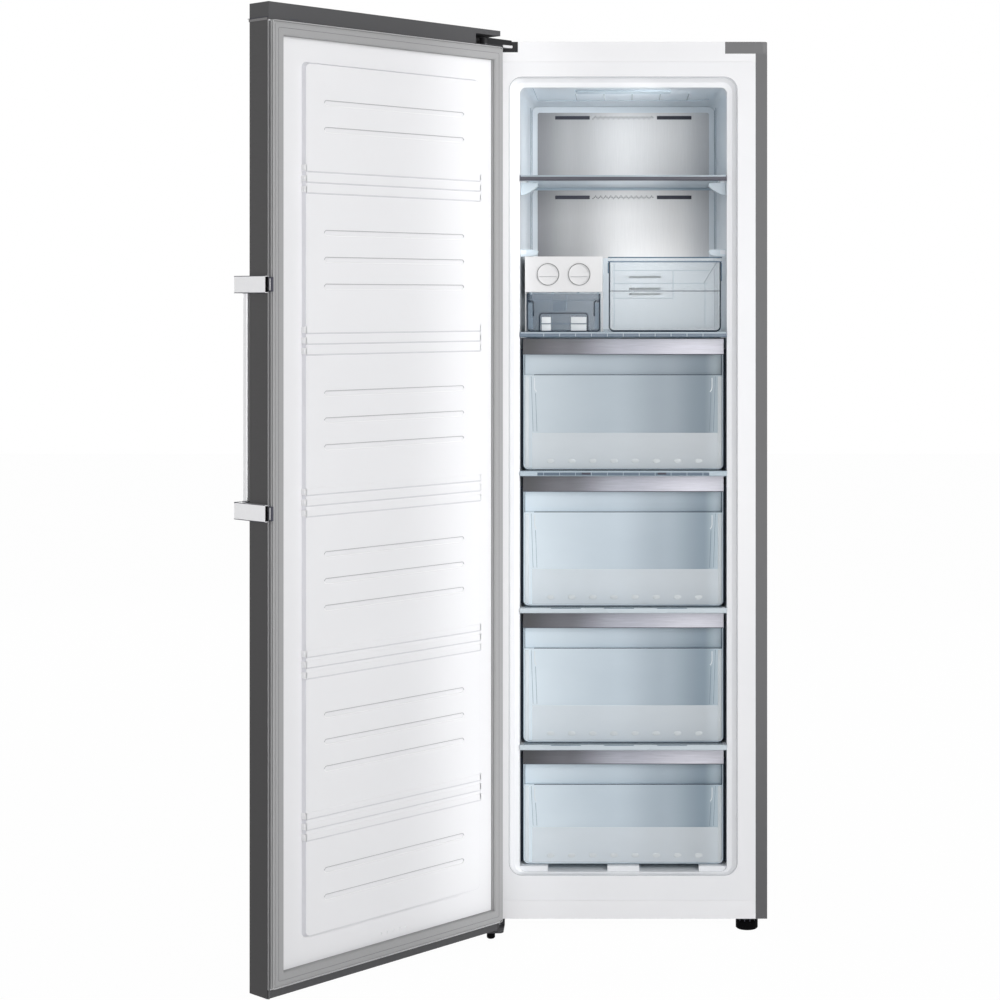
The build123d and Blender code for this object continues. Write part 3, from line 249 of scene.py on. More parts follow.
class Recipe(Graph):
    """A Principled material whose variation reads Object coordinates."""

    def __init__(self, name, **values):
        material = bpy.data.materials.new(name)
        material.use_nodes = True
        super().__init__(material.node_tree)
        FINISHES[name] = material
        self.skin = self.node("ShaderNodeBsdfPrincipled", **values)
        self.node("ShaderNodeOutputMaterial", Surface=self.skin.outputs[0])
        self.place = self.node("ShaderNodeTexCoord").outputs["Object"]

    def noise(self, stretch, scale, detail=2.0, roughness=0.55):
        """Noise on Object coordinates, stretched along each axis."""
        place = self.node("ShaderNodeMapping", Vector=self.place, Scale=stretch).outputs[0]
        return self.node(
            "ShaderNodeTexNoise", Vector=place, Scale=scale, Detail=detail, Roughness=roughness,
        ).outputs["Fac"]

    def ramp(self, fac, stops, interpolation="EASE"):
        """Colours along a value, from pairs of position and colour."""
        made = self.node("ShaderNodeValToRGB", Fac=fac)
        band = made.color_ramp
        band.interpolation = interpolation
        while len(band.elements) < len(stops):
            band.elements.new(0.5)
        for element, (position, colour) in zip(band.elements, stops):
            element.position = position
            element.color = colour
        return made.outputs[0]

    def tones(self, fac, low, high, interpolation="LINEAR"):
        """From one tone to another over the middle of a noise."""
        return self.ramp(fac, [(0.3, low), (0.7, high)], interpolation)

    def spread(self, axis, low, high):
        """0 at low and 1 at high along an axis, in metres."""
        place = self.node("ShaderNodeSeparateXYZ", Vector=self.place).outputs["XYZ".index(axis)]
        return self.node(
            "ShaderNodeMapRange", Value=place, From_Min=low, From_Max=high,
        ).outputs["Result"]

    def mix(self, factor, first, second, blend="MIX"):
        """Two colours mixed, or multiplied."""
        return self.node(
            "ShaderNodeMix", data_type="RGBA", blend_type=blend, Factor=factor, A=first, B=second,
        ).outputs["Result"]

    def bump(self, height, strength, distance):
        """Fine relief from a noise."""
        made = self.node("ShaderNodeBump", Height=height, Strength=strength, Distance=distance)
        self.join(made.outputs[0], self.skin.inputs["Normal"])

    def surface(self, tone, grain, low, high, strength, distance):
        """Join the tone, and a grain for the roughness from low to high and for the bump."""
        self.join(tone, self.skin.inputs["Base Color"])
        level = self.node("ShaderNodeMapRange", Value=grain, To_Min=low, To_Max=high)
        self.join(level.outputs["Result"], self.skin.inputs["Roughness"])
        self.bump(grain, strength, distance)


def brushed_steel(name, colour, stretch, metallic=0.75, roughness=0.38, depth=0.10, band=None):
    """Brushed sheet: fine streaks along one axis, with a soft band of painted reflection and shade
    if asked.
    """
    made = Recipe(name, Metallic=metallic)
    streaks = made.noise(stretch, 90.0, 4.0, 0.7)
    tone = made.tones(streaks, dim(colour, 1 - depth), dim(colour, 1 + depth))
    if band:
        axis, low, high, stops = band
        # painted light: the band's stops brighten and darken the tone along an axis
        painted_light_band = made.ramp(made.spread(axis, low, high), stops)
        tone = made.mix(1.0, tone, painted_light_band, "MULTIPLY")
    made.surface(tone, streaks, roughness - 0.06, roughness + 0.08, 0.12, 0.0002)


def painted(name, colour, roughness=0.35, metallic=0.0, grain=600.0, cloud=0.02, bump=0.05,
            shine=0.5):
    """Painted or moulded surface: fine grain, a faint unevenness of tone."""
    made = Recipe(name, Metallic=metallic, Specular_IOR_Level=shine)
    patches = made.noise((1, 1, 1), 4.0)
    tone = made.tones(patches, dim(colour, 1 - cloud), dim(colour, 1 + cloud))
    fine = made.noise((1, 1, 1), grain)
    made.surface(tone, fine, roughness - 0.05, roughness + 0.07, bump, 0.0003)


def cool_lining(name, white, cool):
    """Vacuum-formed lining, neutral at the front frame and cooler further in; the cool tint is
    partly the lining's own and partly painted shade.
    """
    made = Recipe(name)
    tone = made.mix(made.spread("Y", 0.004, 0.07), white, cool)
    patches = made.tones(made.noise((1, 1, 1), 3.0), (0.97, 0.975, 0.98, 1), WHITE, "EASE")
    fine = made.noise((1, 1, 1), 500.0)
    made.surface(made.mix(1.0, tone, patches, "MULTIPLY"), fine, 0.26, 0.36, 0.04, 0.0003)


def clear_plastic(name, tint, alpha, roughness=0.12):
    """Clear moulded plastic, with faint flow marks."""
    made = Recipe(name, Alpha=alpha, IOR=1.5)
    flow = made.noise((1, 1, 3), 6.0, 3.0)
    tone = made.tones(flow, dim(tint, 0.96), dim(tint, 1.0))
    made.surface(tone, flow, roughness, roughness + 0.06, 0.03, 0.0008)


def tub_plastic(name, tint, alpha):
    """Milky drawer plastic, with painted shade: deeper and bluer towards the right, lighter again
    at the right edge.
    """
    made = Recipe(name, Alpha=alpha, IOR=1.5)

    def tinted(red, green, blue):
        return (tint[0] * red, tint[1] * green, tint[2] * blue, 1.0)

    # painted shade across the drawer: darker and bluer towards the right
    across = made.ramp(
        made.spread("X", -0.21, 0.21),
        [(0.0, tinted(1.0, 1.0, 1.0)), (0.45, tinted(0.82, 0.84, 0.86)),
         (0.7, tinted(0.58, 0.61, 0.64)), (0.9, tinted(0.34, 0.39, 0.43)),
         (0.97, tinted(0.66, 0.7, 0.72))],
    )
    flow = made.tones(made.noise((1, 1, 2), 5.0, 3.0), (0.96, 0.965, 0.97, 1), WHITE, "EASE")
    fine = made.noise((1, 1, 1), 700.0)
    made.surface(made.mix(1.0, across, flow, "MULTIPLY"), fine, 0.3, 0.42, 0.05, 0.0002)


def rubber(name, colour):
    """Soft seal: matt, with a fine grain."""
    made = Recipe(name, Roughness=0.62)
    fine = made.noise((1, 1, 1), 900.0)
    tone = made.tones(fine, dim(colour, 0.95), dim(colour, 1.04))
    made.join(tone, made.skin.inputs["Base Color"])
    made.bump(fine, 0.08, 0.0003)


# name, screen colour, alpha, roughness
CLEAR_LOOKS = (
    # the bucket's dark blue tint: partly the plastic's own, partly painted shade of its inside
    ("Bucket plastic", (58, 90, 118), 0.2, 0.12),
    ("Side light", (244, 248, 250), 0.45, 0.3),
    # a paler, less clear copy of the shelf glass for the top shelf: painted light
    ("Upper glass", (230, 242, 250), 0.9, 0.2),
    ("Deep edge", (28, 48, 68), 0.92, 0.15),
    ("Glint", (240, 245, 248), 0.8, 0.2),
    ("Pale line", (206, 220, 230), 0.7, 0.2),
    ("Soft line", (150, 170, 186), 0.5, 0.25),
    ("Frosted plastic", (248, 252, 255), 0.46, 0.5),
    ("Shelf glass", (190, 208, 220), 0.42, 0.06),
    ("Shelf edge", (58, 58, 72), 0.92, 0.3),
    ("Blue shelf edge", (92, 112, 132), 0.85, 0.2),
    ("Pale trim", (214, 225, 232), 0.85, 0.25),
    ("Pale frame", (186, 202, 213), 0.85, 0.25),
    ("Lamp cover", (206, 219, 228), 0.85, 0.3),
)
# name, screen colour, roughness, metallic
PAINTED_LOOKS = (
    # greyer than the white frame: painted shade of the ice maker
    ("Ice maker white", (224, 224, 225), 0.36, 0.0),
    ("Dark steel", (50, 50, 53), 0.35, 0.5),
    ("Slot dark", (62, 63, 74), 0.6, 0.0),
    # grey for lines of painted shade: the mouth's crease and under the knobs' grips
    ("Shade line", (190, 192, 196), 0.5, 0.0),
    ("Screw", (176, 178, 181), 0.3, 0.8),
    ("Bright metal", (226, 226, 228), 0.2, 0.3),
    ("Trim cells", (92, 108, 124), 0.5, 0.0),
    ("Shelf supports", (206, 218, 226), 0.3, 0.0),
    ("Dark line", (112, 112, 114), 0.5, 0.0),
    ("Moulded shade", (220, 220, 224), 0.6, 0.0),
    ("Groove shade", (190, 190, 193), 0.6, 0.0),
    ("Field slope shade", (221, 221, 226), 0.6, 0.0),
    ("Groove light", (254, 254, 255), 0.5, 0.0),
    ("Lip shade", (92, 92, 94), 0.6, 0.0),
    ("Seal light", (205, 205, 206), 0.6, 0.0),
    ("Seal shade", (128, 128, 130), 0.6, 0.0),
)
# which CAD pieces wear a finish
WEAR = {
    "Cabinet steel": ("cabinet_wrap",),
    "Zinc sheet": ("back_panel", "base_tray", "machine_room_cover", "roller_brackets"),
    "Foam": ("cabinet_foam", "door_foam"),
    "Lining": ("inner_liner",),
    "White frame": ("front_top_rail", "front_bottom_rail"),
    "Ice maker white": ("ice_maker_housing", "twist_tray_left", "twist_tray_right"),
    "Corner trim": ("corner_trim",),
    "Door cap": ("door_cap_top", "door_cap_corner", "door_cap_bottom"),
    "Hinge cover": ("hinge_cover",),
    "Dark steel": ("top_hinge_bracket", "bottom_hinge_bracket", "defrost_heater"),
    "Duct lining": ("duct_panel",),
    "Steel plate": ("duct_face_plate",),
    "Fins": ("evaporator",),
    "Black plastic": ("fan_motor", "fan_rotor", "compressor", "compressor_mounts",
                      "drain_pan", "front_foot_right", "front_foot_left",
                      "rear_roller_left", "rear_roller_right", "hinge_bushes"),
    "Lamp cover": ("light_cover",),
    "Clear plastic": ("small_drawer",),
    "Bucket plastic": ("ice_bucket",),
    "Upper tub plastic": ("drawer_tub_1",),
    "Tub plastic": tuple(f"drawer_tub_{n}" for n in range(2, 5)),
    "Steel strip": tuple(f"drawer_strip_{n}" for n in range(1, 5)),
    "Upper glass": ("glass_shelf_1",),
    "Shelf glass": tuple(f"glass_shelf_{n}" for n in range(2, 6)),
    "Shelf edge": ("shelf_trim_1",),
    "Blue shelf edge": ("shelf_trim_2",),
    "Pale frame": ("shelf_trim_3",),
    "Pale trim": ("shelf_trim_4", "shelf_trim_5"),
    "Door steel": ("door_skin",),
    "Door lining": ("door_liner",),
    "Gasket": ("door_gasket",),
    "Handle": ("handle_bar", "handle_arms"),
}


def dress(node, name):
    """Give every slot of a CAD node its finish."""
    slots = NODES[node].material_slots
    if not slots:
        NODES[node].data.materials.append(FINISHES[name])
    for slot in slots:
        slot.material = FINISHES[name]


# ---- mesh helpers, in mm
def plain_mesh(name, shape):
    """The mesh of a bmesh, which is freed."""
    mesh = bpy.data.meshes.new(name)
    shape.to_mesh(mesh)
    shape.free()
    return mesh


def closed_mesh(name, shape):
    """The mesh of a closed bmesh, with its faces outwards."""
    bmesh.ops.recalc_face_normals(shape, faces=shape.faces)
    return plain_mesh(name, shape)


def join_meshes(name, meshes):
    """One mesh from many, which are removed."""
    shape = bmesh.new()
    for mesh in meshes:
        shape.from_mesh(mesh)
        bpy.data.meshes.remove(mesh)
    return plain_mesh(name, shape)


def block_mesh(name, boxes, soft=0.0, steps=2):
    """Blocks between pairs of corners, with rounded edges."""
    shape = bmesh.new()
    for low, high in boxes:
        size = [(b - a) * MM for a, b in zip(low, high)]
        middle = [(a + b) / 2 * MM for a, b in zip(low, high)]
        matrix = Matrix.Translation(middle) @ Matrix.Diagonal((*size, 1.0))
        made = bmesh.ops.create_cube(shape, size=1.0, matrix=matrix)
        if soft:
            edges = {edge for vertex in made["verts"] for edge in vertex.link_edges}
            bmesh.ops.bevel(
                shape, geom=list(edges), offset=soft * MM, segments=steps,
                affect="EDGES", profile=0.5,
            )
    return closed_mesh(name, shape)


def loop_of(shape, points):
    """New vertices at points."""
    return [shape.verts.new(Vector(point) * MM) for point in points]


def skin(shape, loops):
    """Faces from each loop of vertices to the next."""
    for first, second in zip(loops, loops[1:]):
        for step in range(len(first)):
            after = (step + 1) % len(first)
            shape.faces.new((first[step], first[after], second[after], second[step]))


def turned_mesh(name, profile, centre=(0, 0, 0), axis="Z", steps=32):
    """A turned form from pairs of radius and height, closed at both ends."""
    shape = bmesh.new()
    rings = []
    for radius, height in profile:
        points = []
        for step in range(steps):
            angle = 2 * math.pi * step / steps
            a, b = radius * math.cos(angle), radius * math.sin(angle)
            point = (a, b, height) if axis == "Z" else (a, height, b)
            points.append(Vector(point) + Vector(centre))
        rings.append(loop_of(shape, points))
    skin(shape, rings)
    shape.faces.new(rings[0])
    shape.faces.new(rings[-1])
    return closed_mesh(name, shape)


def ring_mesh(name, centre, outer, inner, front, back, steps=48):
    """A flat upright ring."""
    x, z = centre
    shape = bmesh.new()
    loops = []
    for radius, y in ((outer, front), (inner, front), (inner, back), (outer, back)):
        turns = [2 * math.pi * step / steps for step in range(steps)]
        loops.append(loop_of(shape, [
            (x + radius * math.cos(turn), y, z + radius * math.sin(turn)) for turn in turns
        ]))
    skin(shape, loops + loops[:1])
    return closed_mesh(name, shape)


def upright_sheet(shape, outline, front, back):
    """A sheet from an outline of (x, z) pairs, between two depths."""
    near = loop_of(shape, [(x, front, z) for x, z in outline])
    far = loop_of(shape, [(x, back, z) for x, z in outline])
    shape.faces.new(near)
    shape.faces.new(far)
    skin(shape, [near, far])


def tube_mesh(name, points, radius, closed=False, resolution=2):
    """A round tube along points."""
    curve = bpy.data.curves.new(name, "CURVE")
    curve.dimensions = "3D"
    curve.bevel_depth = radius * MM
    curve.bevel_resolution = resolution
    curve.use_fill_caps = not closed
    spline = curve.splines.new("POLY")
    spline.points.add(len(points) - 1)
    for target, point in zip(spline.points, points):
        target.co = (*(Vector(point) * MM), 1.0)
    spline.use_cyclic_u = closed
    holder = bpy.data.objects.new(name, curve)
    bpy.context.scene.collection.objects.link(holder)
    depsgraph = bpy.context.evaluated_depsgraph_get()
    mesh = bpy.data.meshes.new_from_object(holder.evaluated_get(depsgraph))
    bpy.data.objects.remove(holder)
    bpy.data.curves.remove(curve)
    return mesh


def screw_mesh(radius):
    """A pan-head screw that stands out of the back."""
    height = radius * 0.55
    profile = [(radius, -0.4), (radius, height * 0.35), (radius * 0.86, height * 0.75),
               (radius * 0.55, height), (radius * 0.12, height)]
    return turned_mesh("screw", profile, axis="Y", steps=20)


def cross_mesh(radius):
    """The dark recess of a screw head."""
    height = radius * 0.56
    along, thin = radius * 0.5, radius * 0.11
    return block_mesh("cross", [
        ((-a, height - 0.15, -b), (a, height + 0.05, b)) for a, b in ((along, thin), (thin, along))
    ])


# ---- outlines in the XZ plane
def rounded_corner(corner, radius, start, steps=6):
    """Points of a quarter circle round a corner."""
    x, y, z = corner
    out = []
    for step in range(steps + 1):
        angle = math.radians(start + 90 * step / steps)
        out.append((x + radius * math.cos(angle), y, z + radius * math.sin(angle)))
    return out


def upper_turns(left, right, high, y, radius):
    """The two upper corners of an outline, from right to left."""
    return (rounded_corner((right - radius, y, high - radius), radius, 0)
            + rounded_corner((left + radius, y, high - radius), radius, 90))


def lower_turns(left, right, low, y, radius):
    """The two lower corners of an outline, from left to right."""
    return (rounded_corner((left + radius, y, low + radius), radius, 180)
            + rounded_corner((right - radius, y, low + radius), radius, 270))


def rounded_frame(left, right, low, high, y, radius):
    """A closed outline with rounded corners."""
    return upper_turns(left, right, high, y, radius) + lower_turns(left, right, low, y, radius)


def cup_line(left, right, low, high, y, radius):
    """A U: down the left side, round the bottom and up the right."""
    return [(left, y, high), *lower_turns(left, right, low, y, radius), (right, y, high)]


# ---- rows by geometry nodes
ROW_INPUTS = {
    "Piece": "Object", "Count": "Int", "Start": "Vector", "Step": "Vector",
    "Zigzag": "Vector", "Beat": "Float", "Finish": "Material",
}


def row_tree():
    """Copies of a piece in a row, with an even zigzag across it."""
    name = "Row of pieces"
    if name in bpy.data.node_groups:
        return bpy.data.node_groups[name]
    tree = bpy.data.node_groups.new(name, "GeometryNodeTree")
    face = tree.interface
    face.new_socket("Geometry", in_out="INPUT", socket_type="NodeSocketGeometry")
    for label, kind in ROW_INPUTS.items():
        face.new_socket(label, in_out="INPUT", socket_type=f"NodeSocket{kind}")
    face.new_socket("Geometry", in_out="OUTPUT", socket_type="NodeSocketGeometry")
    graph = Graph(tree)
    entry = graph.node("NodeGroupInput").outputs
    line = graph.node("GeometryNodeMeshLine", Count=entry["Count"],
                      Start_Location=entry["Start"], Offset=entry["Step"])
    index = graph.node("GeometryNodeInputIndex")
    wave = graph.node("ShaderNodeMath", operation="PINGPONG")
    graph.join(index.outputs[0], wave.inputs[0])
    graph.join(entry["Beat"], wave.inputs[1])
    aside = graph.node("ShaderNodeVectorMath", operation="SCALE", Vector=entry["Zigzag"],
                       Scale=wave.outputs[0])
    moved = graph.node("GeometryNodeSetPosition", Geometry=line.outputs[0],
                       Offset=aside.outputs[0])
    info = graph.node("GeometryNodeObjectInfo", Object=entry["Piece"])
    copies = graph.node("GeometryNodeInstanceOnPoints", Points=moved.outputs[0],
                        Instance=info.outputs["Geometry"])
    real = graph.node("GeometryNodeRealizeInstances", Geometry=copies.outputs[0])
    coat = graph.node("GeometryNodeSetMaterial", Geometry=real.outputs[0],
                      Material=entry["Finish"])
    graph.node("NodeGroupOutput", Geometry=coat.outputs[0])
    return tree


def row_mesh(name, mesh, count, start, step, material, zigzag=(0, 0, 0), beat=1.0):
    """Run the row tree once and hand back a plain mesh."""
    template = bpy.data.objects.new(name + "_one", mesh)
    holder = bpy.data.objects.new(name, bpy.data.meshes.new(name))
    for made in (template, holder):
        bpy.context.scene.collection.objects.link(made)
    tree = row_tree()
    modifier = holder.modifiers.new("Row", "NODES")
    modifier.node_group = tree
    values = {
        "Piece": template, "Count": count, "Start": [v * MM for v in start],
        "Step": [v * MM for v in step], "Zigzag": [v * MM for v in zigzag],
        "Beat": beat, "Finish": FINISHES[material],
    }
    for socket in tree.interface.items_tree:
        if socket.name in values:
            modifier[socket.identifier] = values[socket.name]
    holder.update_tag()
    depsgraph = bpy.context.evaluated_depsgraph_get()
    depsgraph.update()
    result = bpy.data.meshes.new_from_object(holder.evaluated_get(depsgraph))
    holder.modifiers.clear()
    for made in (template, holder):
        bpy.data.objects.remove(made)
    return result


# ---- pieces
def solid(name, mesh, material, body):
    """A new piece that rides on a body. The door's are made shut, and turned open here."""
    if body == "door":
        mesh.transform(DOOR_TURN)
    made = bpy.data.objects.new(name, mesh)
    bpy.context.scene.collection.objects.link(made)
    mesh.materials.clear()
    mesh.materials.append(FINISHES[material])
    mesh.shade_smooth()
    mesh.set_sharp_from_angle(angle=SHARP_ANGLE)
    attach(made, body)


def wires(name, paths, radius, material, body, closed=False):
    """Thin round lines, joined as one piece."""
    meshes = [tube_mesh(name, path, radius, closed) for path in paths]
    solid(name, join_meshes(name, meshes), material, body)


def blocks(name, boxes, material, body, soft=0.0):
    """Softened blocks, joined as one piece."""
    solid(name, block_mesh(name, boxes, soft), material, body)


def rows(name, mesh, runs, material, body, zigzag=(0, 0, 0), beat=1.0):
    """Rows of copies, each run a count, a start and a step, joined as one piece."""
    meshes = [row_mesh(name, mesh, *run, material, zigzag, beat) for run in runs]
    solid(name, join_meshes(name, meshes), material, body)


# ---- stage materials
def seen_rays(graph):
    """1 for rays that see the floor or the world: camera, glossy and transmission rays."""
    ray = graph.node("ShaderNodeLightPath")
    value = ray.outputs["Is Camera Ray"]
    for name in ("Is Glossy Ray", "Is Transmission Ray"):
        most = graph.node("ShaderNodeMath", operation="MAXIMUM")
        graph.join(value, most.inputs[0])
        graph.join(ray.outputs[name], most.inputs[1])
        value = most.outputs[0]
    return value


def floor_finish():
    """A white floor that still takes the object's shadow."""
    material = bpy.data.materials.new("Floor")
    material.use_nodes = True
    graph = Graph(material.node_tree)
    matt = graph.node("ShaderNodeBsdfDiffuse", Color=(0.86, 0.86, 0.86, 1))
    glow = graph.node("ShaderNodeEmission", Strength=1.0)
    share = graph.node("ShaderNodeMath", operation="MULTIPLY")
    share.inputs[1].default_value = FLOOR_GLOW
    graph.join(seen_rays(graph), share.inputs[0])
    graph.blend(share.outputs[0], matt, glow, "ShaderNodeOutputMaterial")
    return material


def studio_world():
    """An even white room, plain white where it is seen."""
    world = bpy.data.worlds.new("Studio")
    world.use_nodes = True
    graph = Graph(world.node_tree)
    dull, plain = (
        graph.node("ShaderNodeBackground", Color=WHITE, Strength=strength)
        for strength in (WORLD_LIGHT, 1.0)
    )
    graph.blend(seen_rays(graph), dull, plain, "ShaderNodeOutputWorld")
    return world


# ---- operators
class FREEZER_OT_finishes(bpy.types.Operator):
    """Make the finishes and give each CAD piece its own"""

    bl_idname = "freezer.finishes"
    bl_label = "Finishes"

    def execute(self, context):
        colours = context.scene.freezer_colours
        # painted shade: the cabinet steel darker towards the bottom
        brushed_steel(
            "Cabinet steel", colours.cabinet_steel, UPRIGHT_LINES, 0.1, 0.5, 0.035,
            ("Z", 0.0, 1.84, [(0.0, (0.72, 0.72, 0.73, 1)), (0.35, WHITE)]),
        )
        # painted shade: the door steel darker towards the bottom
        brushed_steel(
            "Door steel", colours.door_steel, (0.4, 0.4, 9.0), 0.15, 0.5, 0.1,
            ("Z", 0.0, 1.86, [(0.0, (0.56, 0.55, 0.56, 1)), (0.9, WHITE)]),
        )
        # painted reflection on the steel plate: darker at both sides, brightest right of the
        # middle
        brushed_steel(
            "Steel plate", colours.steel_plate, UPRIGHT_LINES, 0.12, 0.4, 0.035,
            ("X", -0.195, 0.195, [
                (0.0, (0.34, 0.34, 0.35, 1)), (0.2, (0.62, 0.615, 0.61, 1)),
                (0.52, (1.1, 1.08, 1.06, 1)), (0.82, (0.96, 0.94, 0.92, 1)),
                (1.0, (0.68, 0.68, 0.69, 1)),
            ]),
        )
        # painted reflection on the drawer strips: dark at the left, bright towards the right
        brushed_steel(
            "Steel strip", colours.strip_steel, LEVEL_LINES, 0.12, 0.4, 0.14,
            ("X", -0.209, 0.209, [
                (0.0, (0.05, 0.05, 0.055, 1)), (0.22, (0.19, 0.19, 0.205, 1)),
                (0.5, (0.64, 0.645, 0.69, 1)), (0.85, (0.95, 0.935, 0.97, 1)),
                (1.0, (0.88, 0.87, 0.9, 1)),
            ]),
        )
        brushed_steel("Corner trim", colours.cabinet_steel, LEVEL_LINES, 0.2, 0.42, 0.05)
        brushed_steel("Zinc sheet", shade(158, 161, 164), (4, 4, 4), 0.5, 0.45, 0.1)
        brushed_steel("Fins", shade(196, 199, 202), UPRIGHT_LINES, 0.8, 0.35)
        cool_lining("Lining", colours.white_frame, colours.cool_white)
        rubber("Gasket", colours.gasket_grey)
        painted("White frame", colours.white_frame, 0.36)
        # the cool white of the inside: partly the lining's own tint, partly painted shade
        painted("Duct lining", colours.cool_white, 0.36)
        painted("Door lining", colours.door_white, 0.5, 0, 500, 0.008)
        painted("Door cap", colours.cap_dark, 0.5, 0, 700)
        # lighter grey for the painted highlight under the top cap
        painted("Cap seam highlight", shade(128, 127, 128), 0.45, 0, 700)
        painted("Hinge cover", shade(34, 34, 36), 0.5, 0, 700, shine=0.2)
        painted("Handle", colours.handle_grey, 0.24, 0.4, 900, 0.01)
        painted("Black plastic", shade(4, 4, 5), 0.7, shine=0.05)
        # dark blue for painted shade: the gaps beside the drawers and the pinholes
        painted("Drawer runner", shade(10, 22, 36), 0.6, shine=0.2)
        painted("Foam", shade(222, 212, 180), 0.9, 0, 200, 0.06, 0.3)
        clear_plastic("Clear plastic", colours.clear_tint, 0.08)
        clear_plastic("Clear edge", colours.edge_blue, 0.85, 0.1)
        tub_plastic("Tub plastic", colours.tub_tint, 0.8)
        # a darker copy of the drawer plastic for the top drawer: painted shade
        tub_plastic("Upper tub plastic", dim(colours.tub_tint, 0.84), 0.7)
        for name, colour, alpha, roughness in CLEAR_LOOKS:
            clear_plastic(name, shade(*colour), alpha, roughness)
        for name, colour, roughness, metallic in PAINTED_LOOKS:
            painted(name, shade(*colour), roughness, metallic)
        for name, nodes in WEAR.items():
            for node in nodes:
                dress(node, name)
        return {"FINISHED"}


class FREEZER_OT_drawers(bpy.types.Operator):
    """Thick edges, finger step, frosted band and side lines of the four deep drawers"""

    bl_idname = "freezer.drawers"
    bl_label = "Drawers"

    def execute(self, context):
        radius = context.scene.freezer_sizes.edge_bead / MM
        front = DRAWER_FRONT + 0.6
        half = DRAWER_HALF - radius
        inner = half - 2.6
        rib_glint = turned_mesh("rib_glint", RIB_GLINT, axis="Y", steps=20)
        rib_glint.transform(Matrix.Diagonal((1.0, 1.0, RIB_GLINT_SQUASH, 1.0)))
        for name, (low, high) in DRAWERS.items():
            strip = high - STRIP_TALL
            rim, grip = strip - 1, strip - GRIP_TALL
            wires(f"{name}_edge", [cup_line(-half, half, low + radius, rim, front, 11)],
                  radius, "Pale line", name)
            wires(f"{name}_edge_shade", [
                cup_line(-inner, inner, low + 3.4, rim, front, 9),
                cup_line(-208.6, 208.6, low + 0.6, rim, front - 0.6, 11.4),
            ], 0.7, "Deep edge", name)
            # the finger step as a line of painted shade, with a painted highlight just under it
            for part, z, thick, look in (
                ("step", grip, 0.8, "Deep edge"), ("step_light", grip - 1.8, 0.5, "Glint"),
            ):
                wires(f"{name}_{part}", [[(-186, front, z), (206, front, z)]], thick, look, name)
            blocks(f"{name}_band", [((-190, 37.5, low + 3.2), (205, 38.2, low + 77))],
                   "Frosted plastic", name, soft=0.2)
            # light and shade of the side walls, seen through the front
            lit, walls, hooks = [], [], []
            for side in SIDES:
                lit.append(((side * 201 - 4, 37.4, low + 5), (side * 201 + 4, 38.1, grip - 3)))
                walls.append([(side * 180, 38.0, low + 80), (side * 183, 38.0, grip - 38)])
                walls.append([(side * 188, 38.0, low + 80), (side * 192, 38.0, grip - 3)])
                hooks.append([
                    (side * 185, front, grip - 6), (side * 185, front, grip - 26),
                    (side * 184, front, grip - 31), (side * 181, front, grip - 35),
                ])
            blocks(f"{name}_lit_sides", lit, "Side light", name, soft=0.3)
            wires(f"{name}_walls", walls, 0.5, "Soft line", name)
            wires(f"{name}_glints", hooks, 1.1, "Glint", name)
            # a row of painted highlights low on the front
            rows(f"{name}_dimples", rib_glint, [(8, (-152.0, 37.5, low + 18), (44.2, 0, 0))],
                 "Side light", name)
            blocks(f"{name}_strip_lines", [
                ((-209, 36.6, strip - 0.6), (209, 38.0, strip + 0.8)),
                ((-209, 36.7, high - 1.0), (209, 38.0, high - 0.1)),
            ], "Slot dark", name)
        return {"FINISHED"}


class FREEZER_OT_drawer_gap_shade(bpy.types.Operator):
    """Dark sheets of painted shade on the side walls, in the gap beside each drawer"""

    bl_idname = "freezer.drawer_runners"
    bl_label = "Dark shades"

    def execute(self, context):
        gap_shades = []
        for low, high in DRAWERS.values():
            for side in SIDES:
                left, right = sorted((side * 209.8, side * 214.0))
                gap_shades.append(((left, 44.0, low + 4), (right, 47.0, high - 22)))
        blocks("drawer_runners", gap_shades, "Drawer runner", "cabinet", 0.4)
        return {"FINISHED"}


class FREEZER_OT_shelves(bpy.types.Operator):
    """Clear lips, trim details, back beams and side supports of the glass shelves"""

    bl_idname = "freezer.shelves"
    bl_label = "Shelves"

    def execute(self, context):
        upper, middle, lower = SHELF_TOPS[:2], SHELF_TOPS[2], SHELF_TOPS[3:]
        blocks("shelf_lips", [
            ((-213, 9.5, top - 3.2), (213, 10.8, top - 0.2)) for top in upper
        ], "Pale line", "cabinet", soft=0.3)
        blocks("shelf_beams", [
            ((-204, 441, top - 9), (204, 449, top - 4.3)) for top in SHELF_TOPS
        ], "Pale frame", "cabinet", soft=0.4)
        blocks("shelf_trim_cells", [((-178, 9.4, middle - 9.4), (178, 10.6, middle - 3.2))],
               "Trim cells", "cabinet", soft=0.2)
        blocks("shelf_trim_spots", [
            ((left, 9.2, middle - 7.6), (left + 18, 10.4, middle - 3.4)) for left in (-86, 71)
        ], "Slot dark", "cabinet", soft=0.2)
        blocks("shelf_trim_joints", [
            ((left, 9.3, top - 1.2), (left + 62, 10.4, top - 0.2))
            for top in lower for left in (-150, -40, 70)
        ], "Clear edge", "cabinet", soft=0.2)
        tick = block_mesh("tick", [((-0.6, -0.8, -3.4), (0.6, 0.4, 3.4))], 0.25, 1)
        rows("shelf_ticks", tick, [
            (11, (-165.0, 9.4, top - 6.2), (33.0, 0, 0)) for top in SHELF_TOPS[1:3]
        ], "Pale line", "cabinet")
        shape = bmesh.new()
        wedge = [(214.0, -13.0), (203.4, -13.0), (180.0, -14.0), (179.0, -20.0), (186.0, -26.0),
                 (197.0, -33.0), (206.0, -38.0), (214.0, -38.5)]
        pad = [(214.0, 0.0), (184.0, 0.0), (179.0, -3.5), (181.0, -10.0), (190.0, -13.5),
               (214.0, -15.0)]
        for side in SIDES:
            for outline, top, back in zip((wedge, pad), SUPPORT_TOPS, (84.0, 90.0)):
                upright_sheet(shape, [(side * x, top + z) for x, z in outline], 58.0, back)
        solid("shelf_supports", closed_mesh("shelf_supports", shape), "Shelf supports",
              "cabinet")
        return {"FINISHED"}


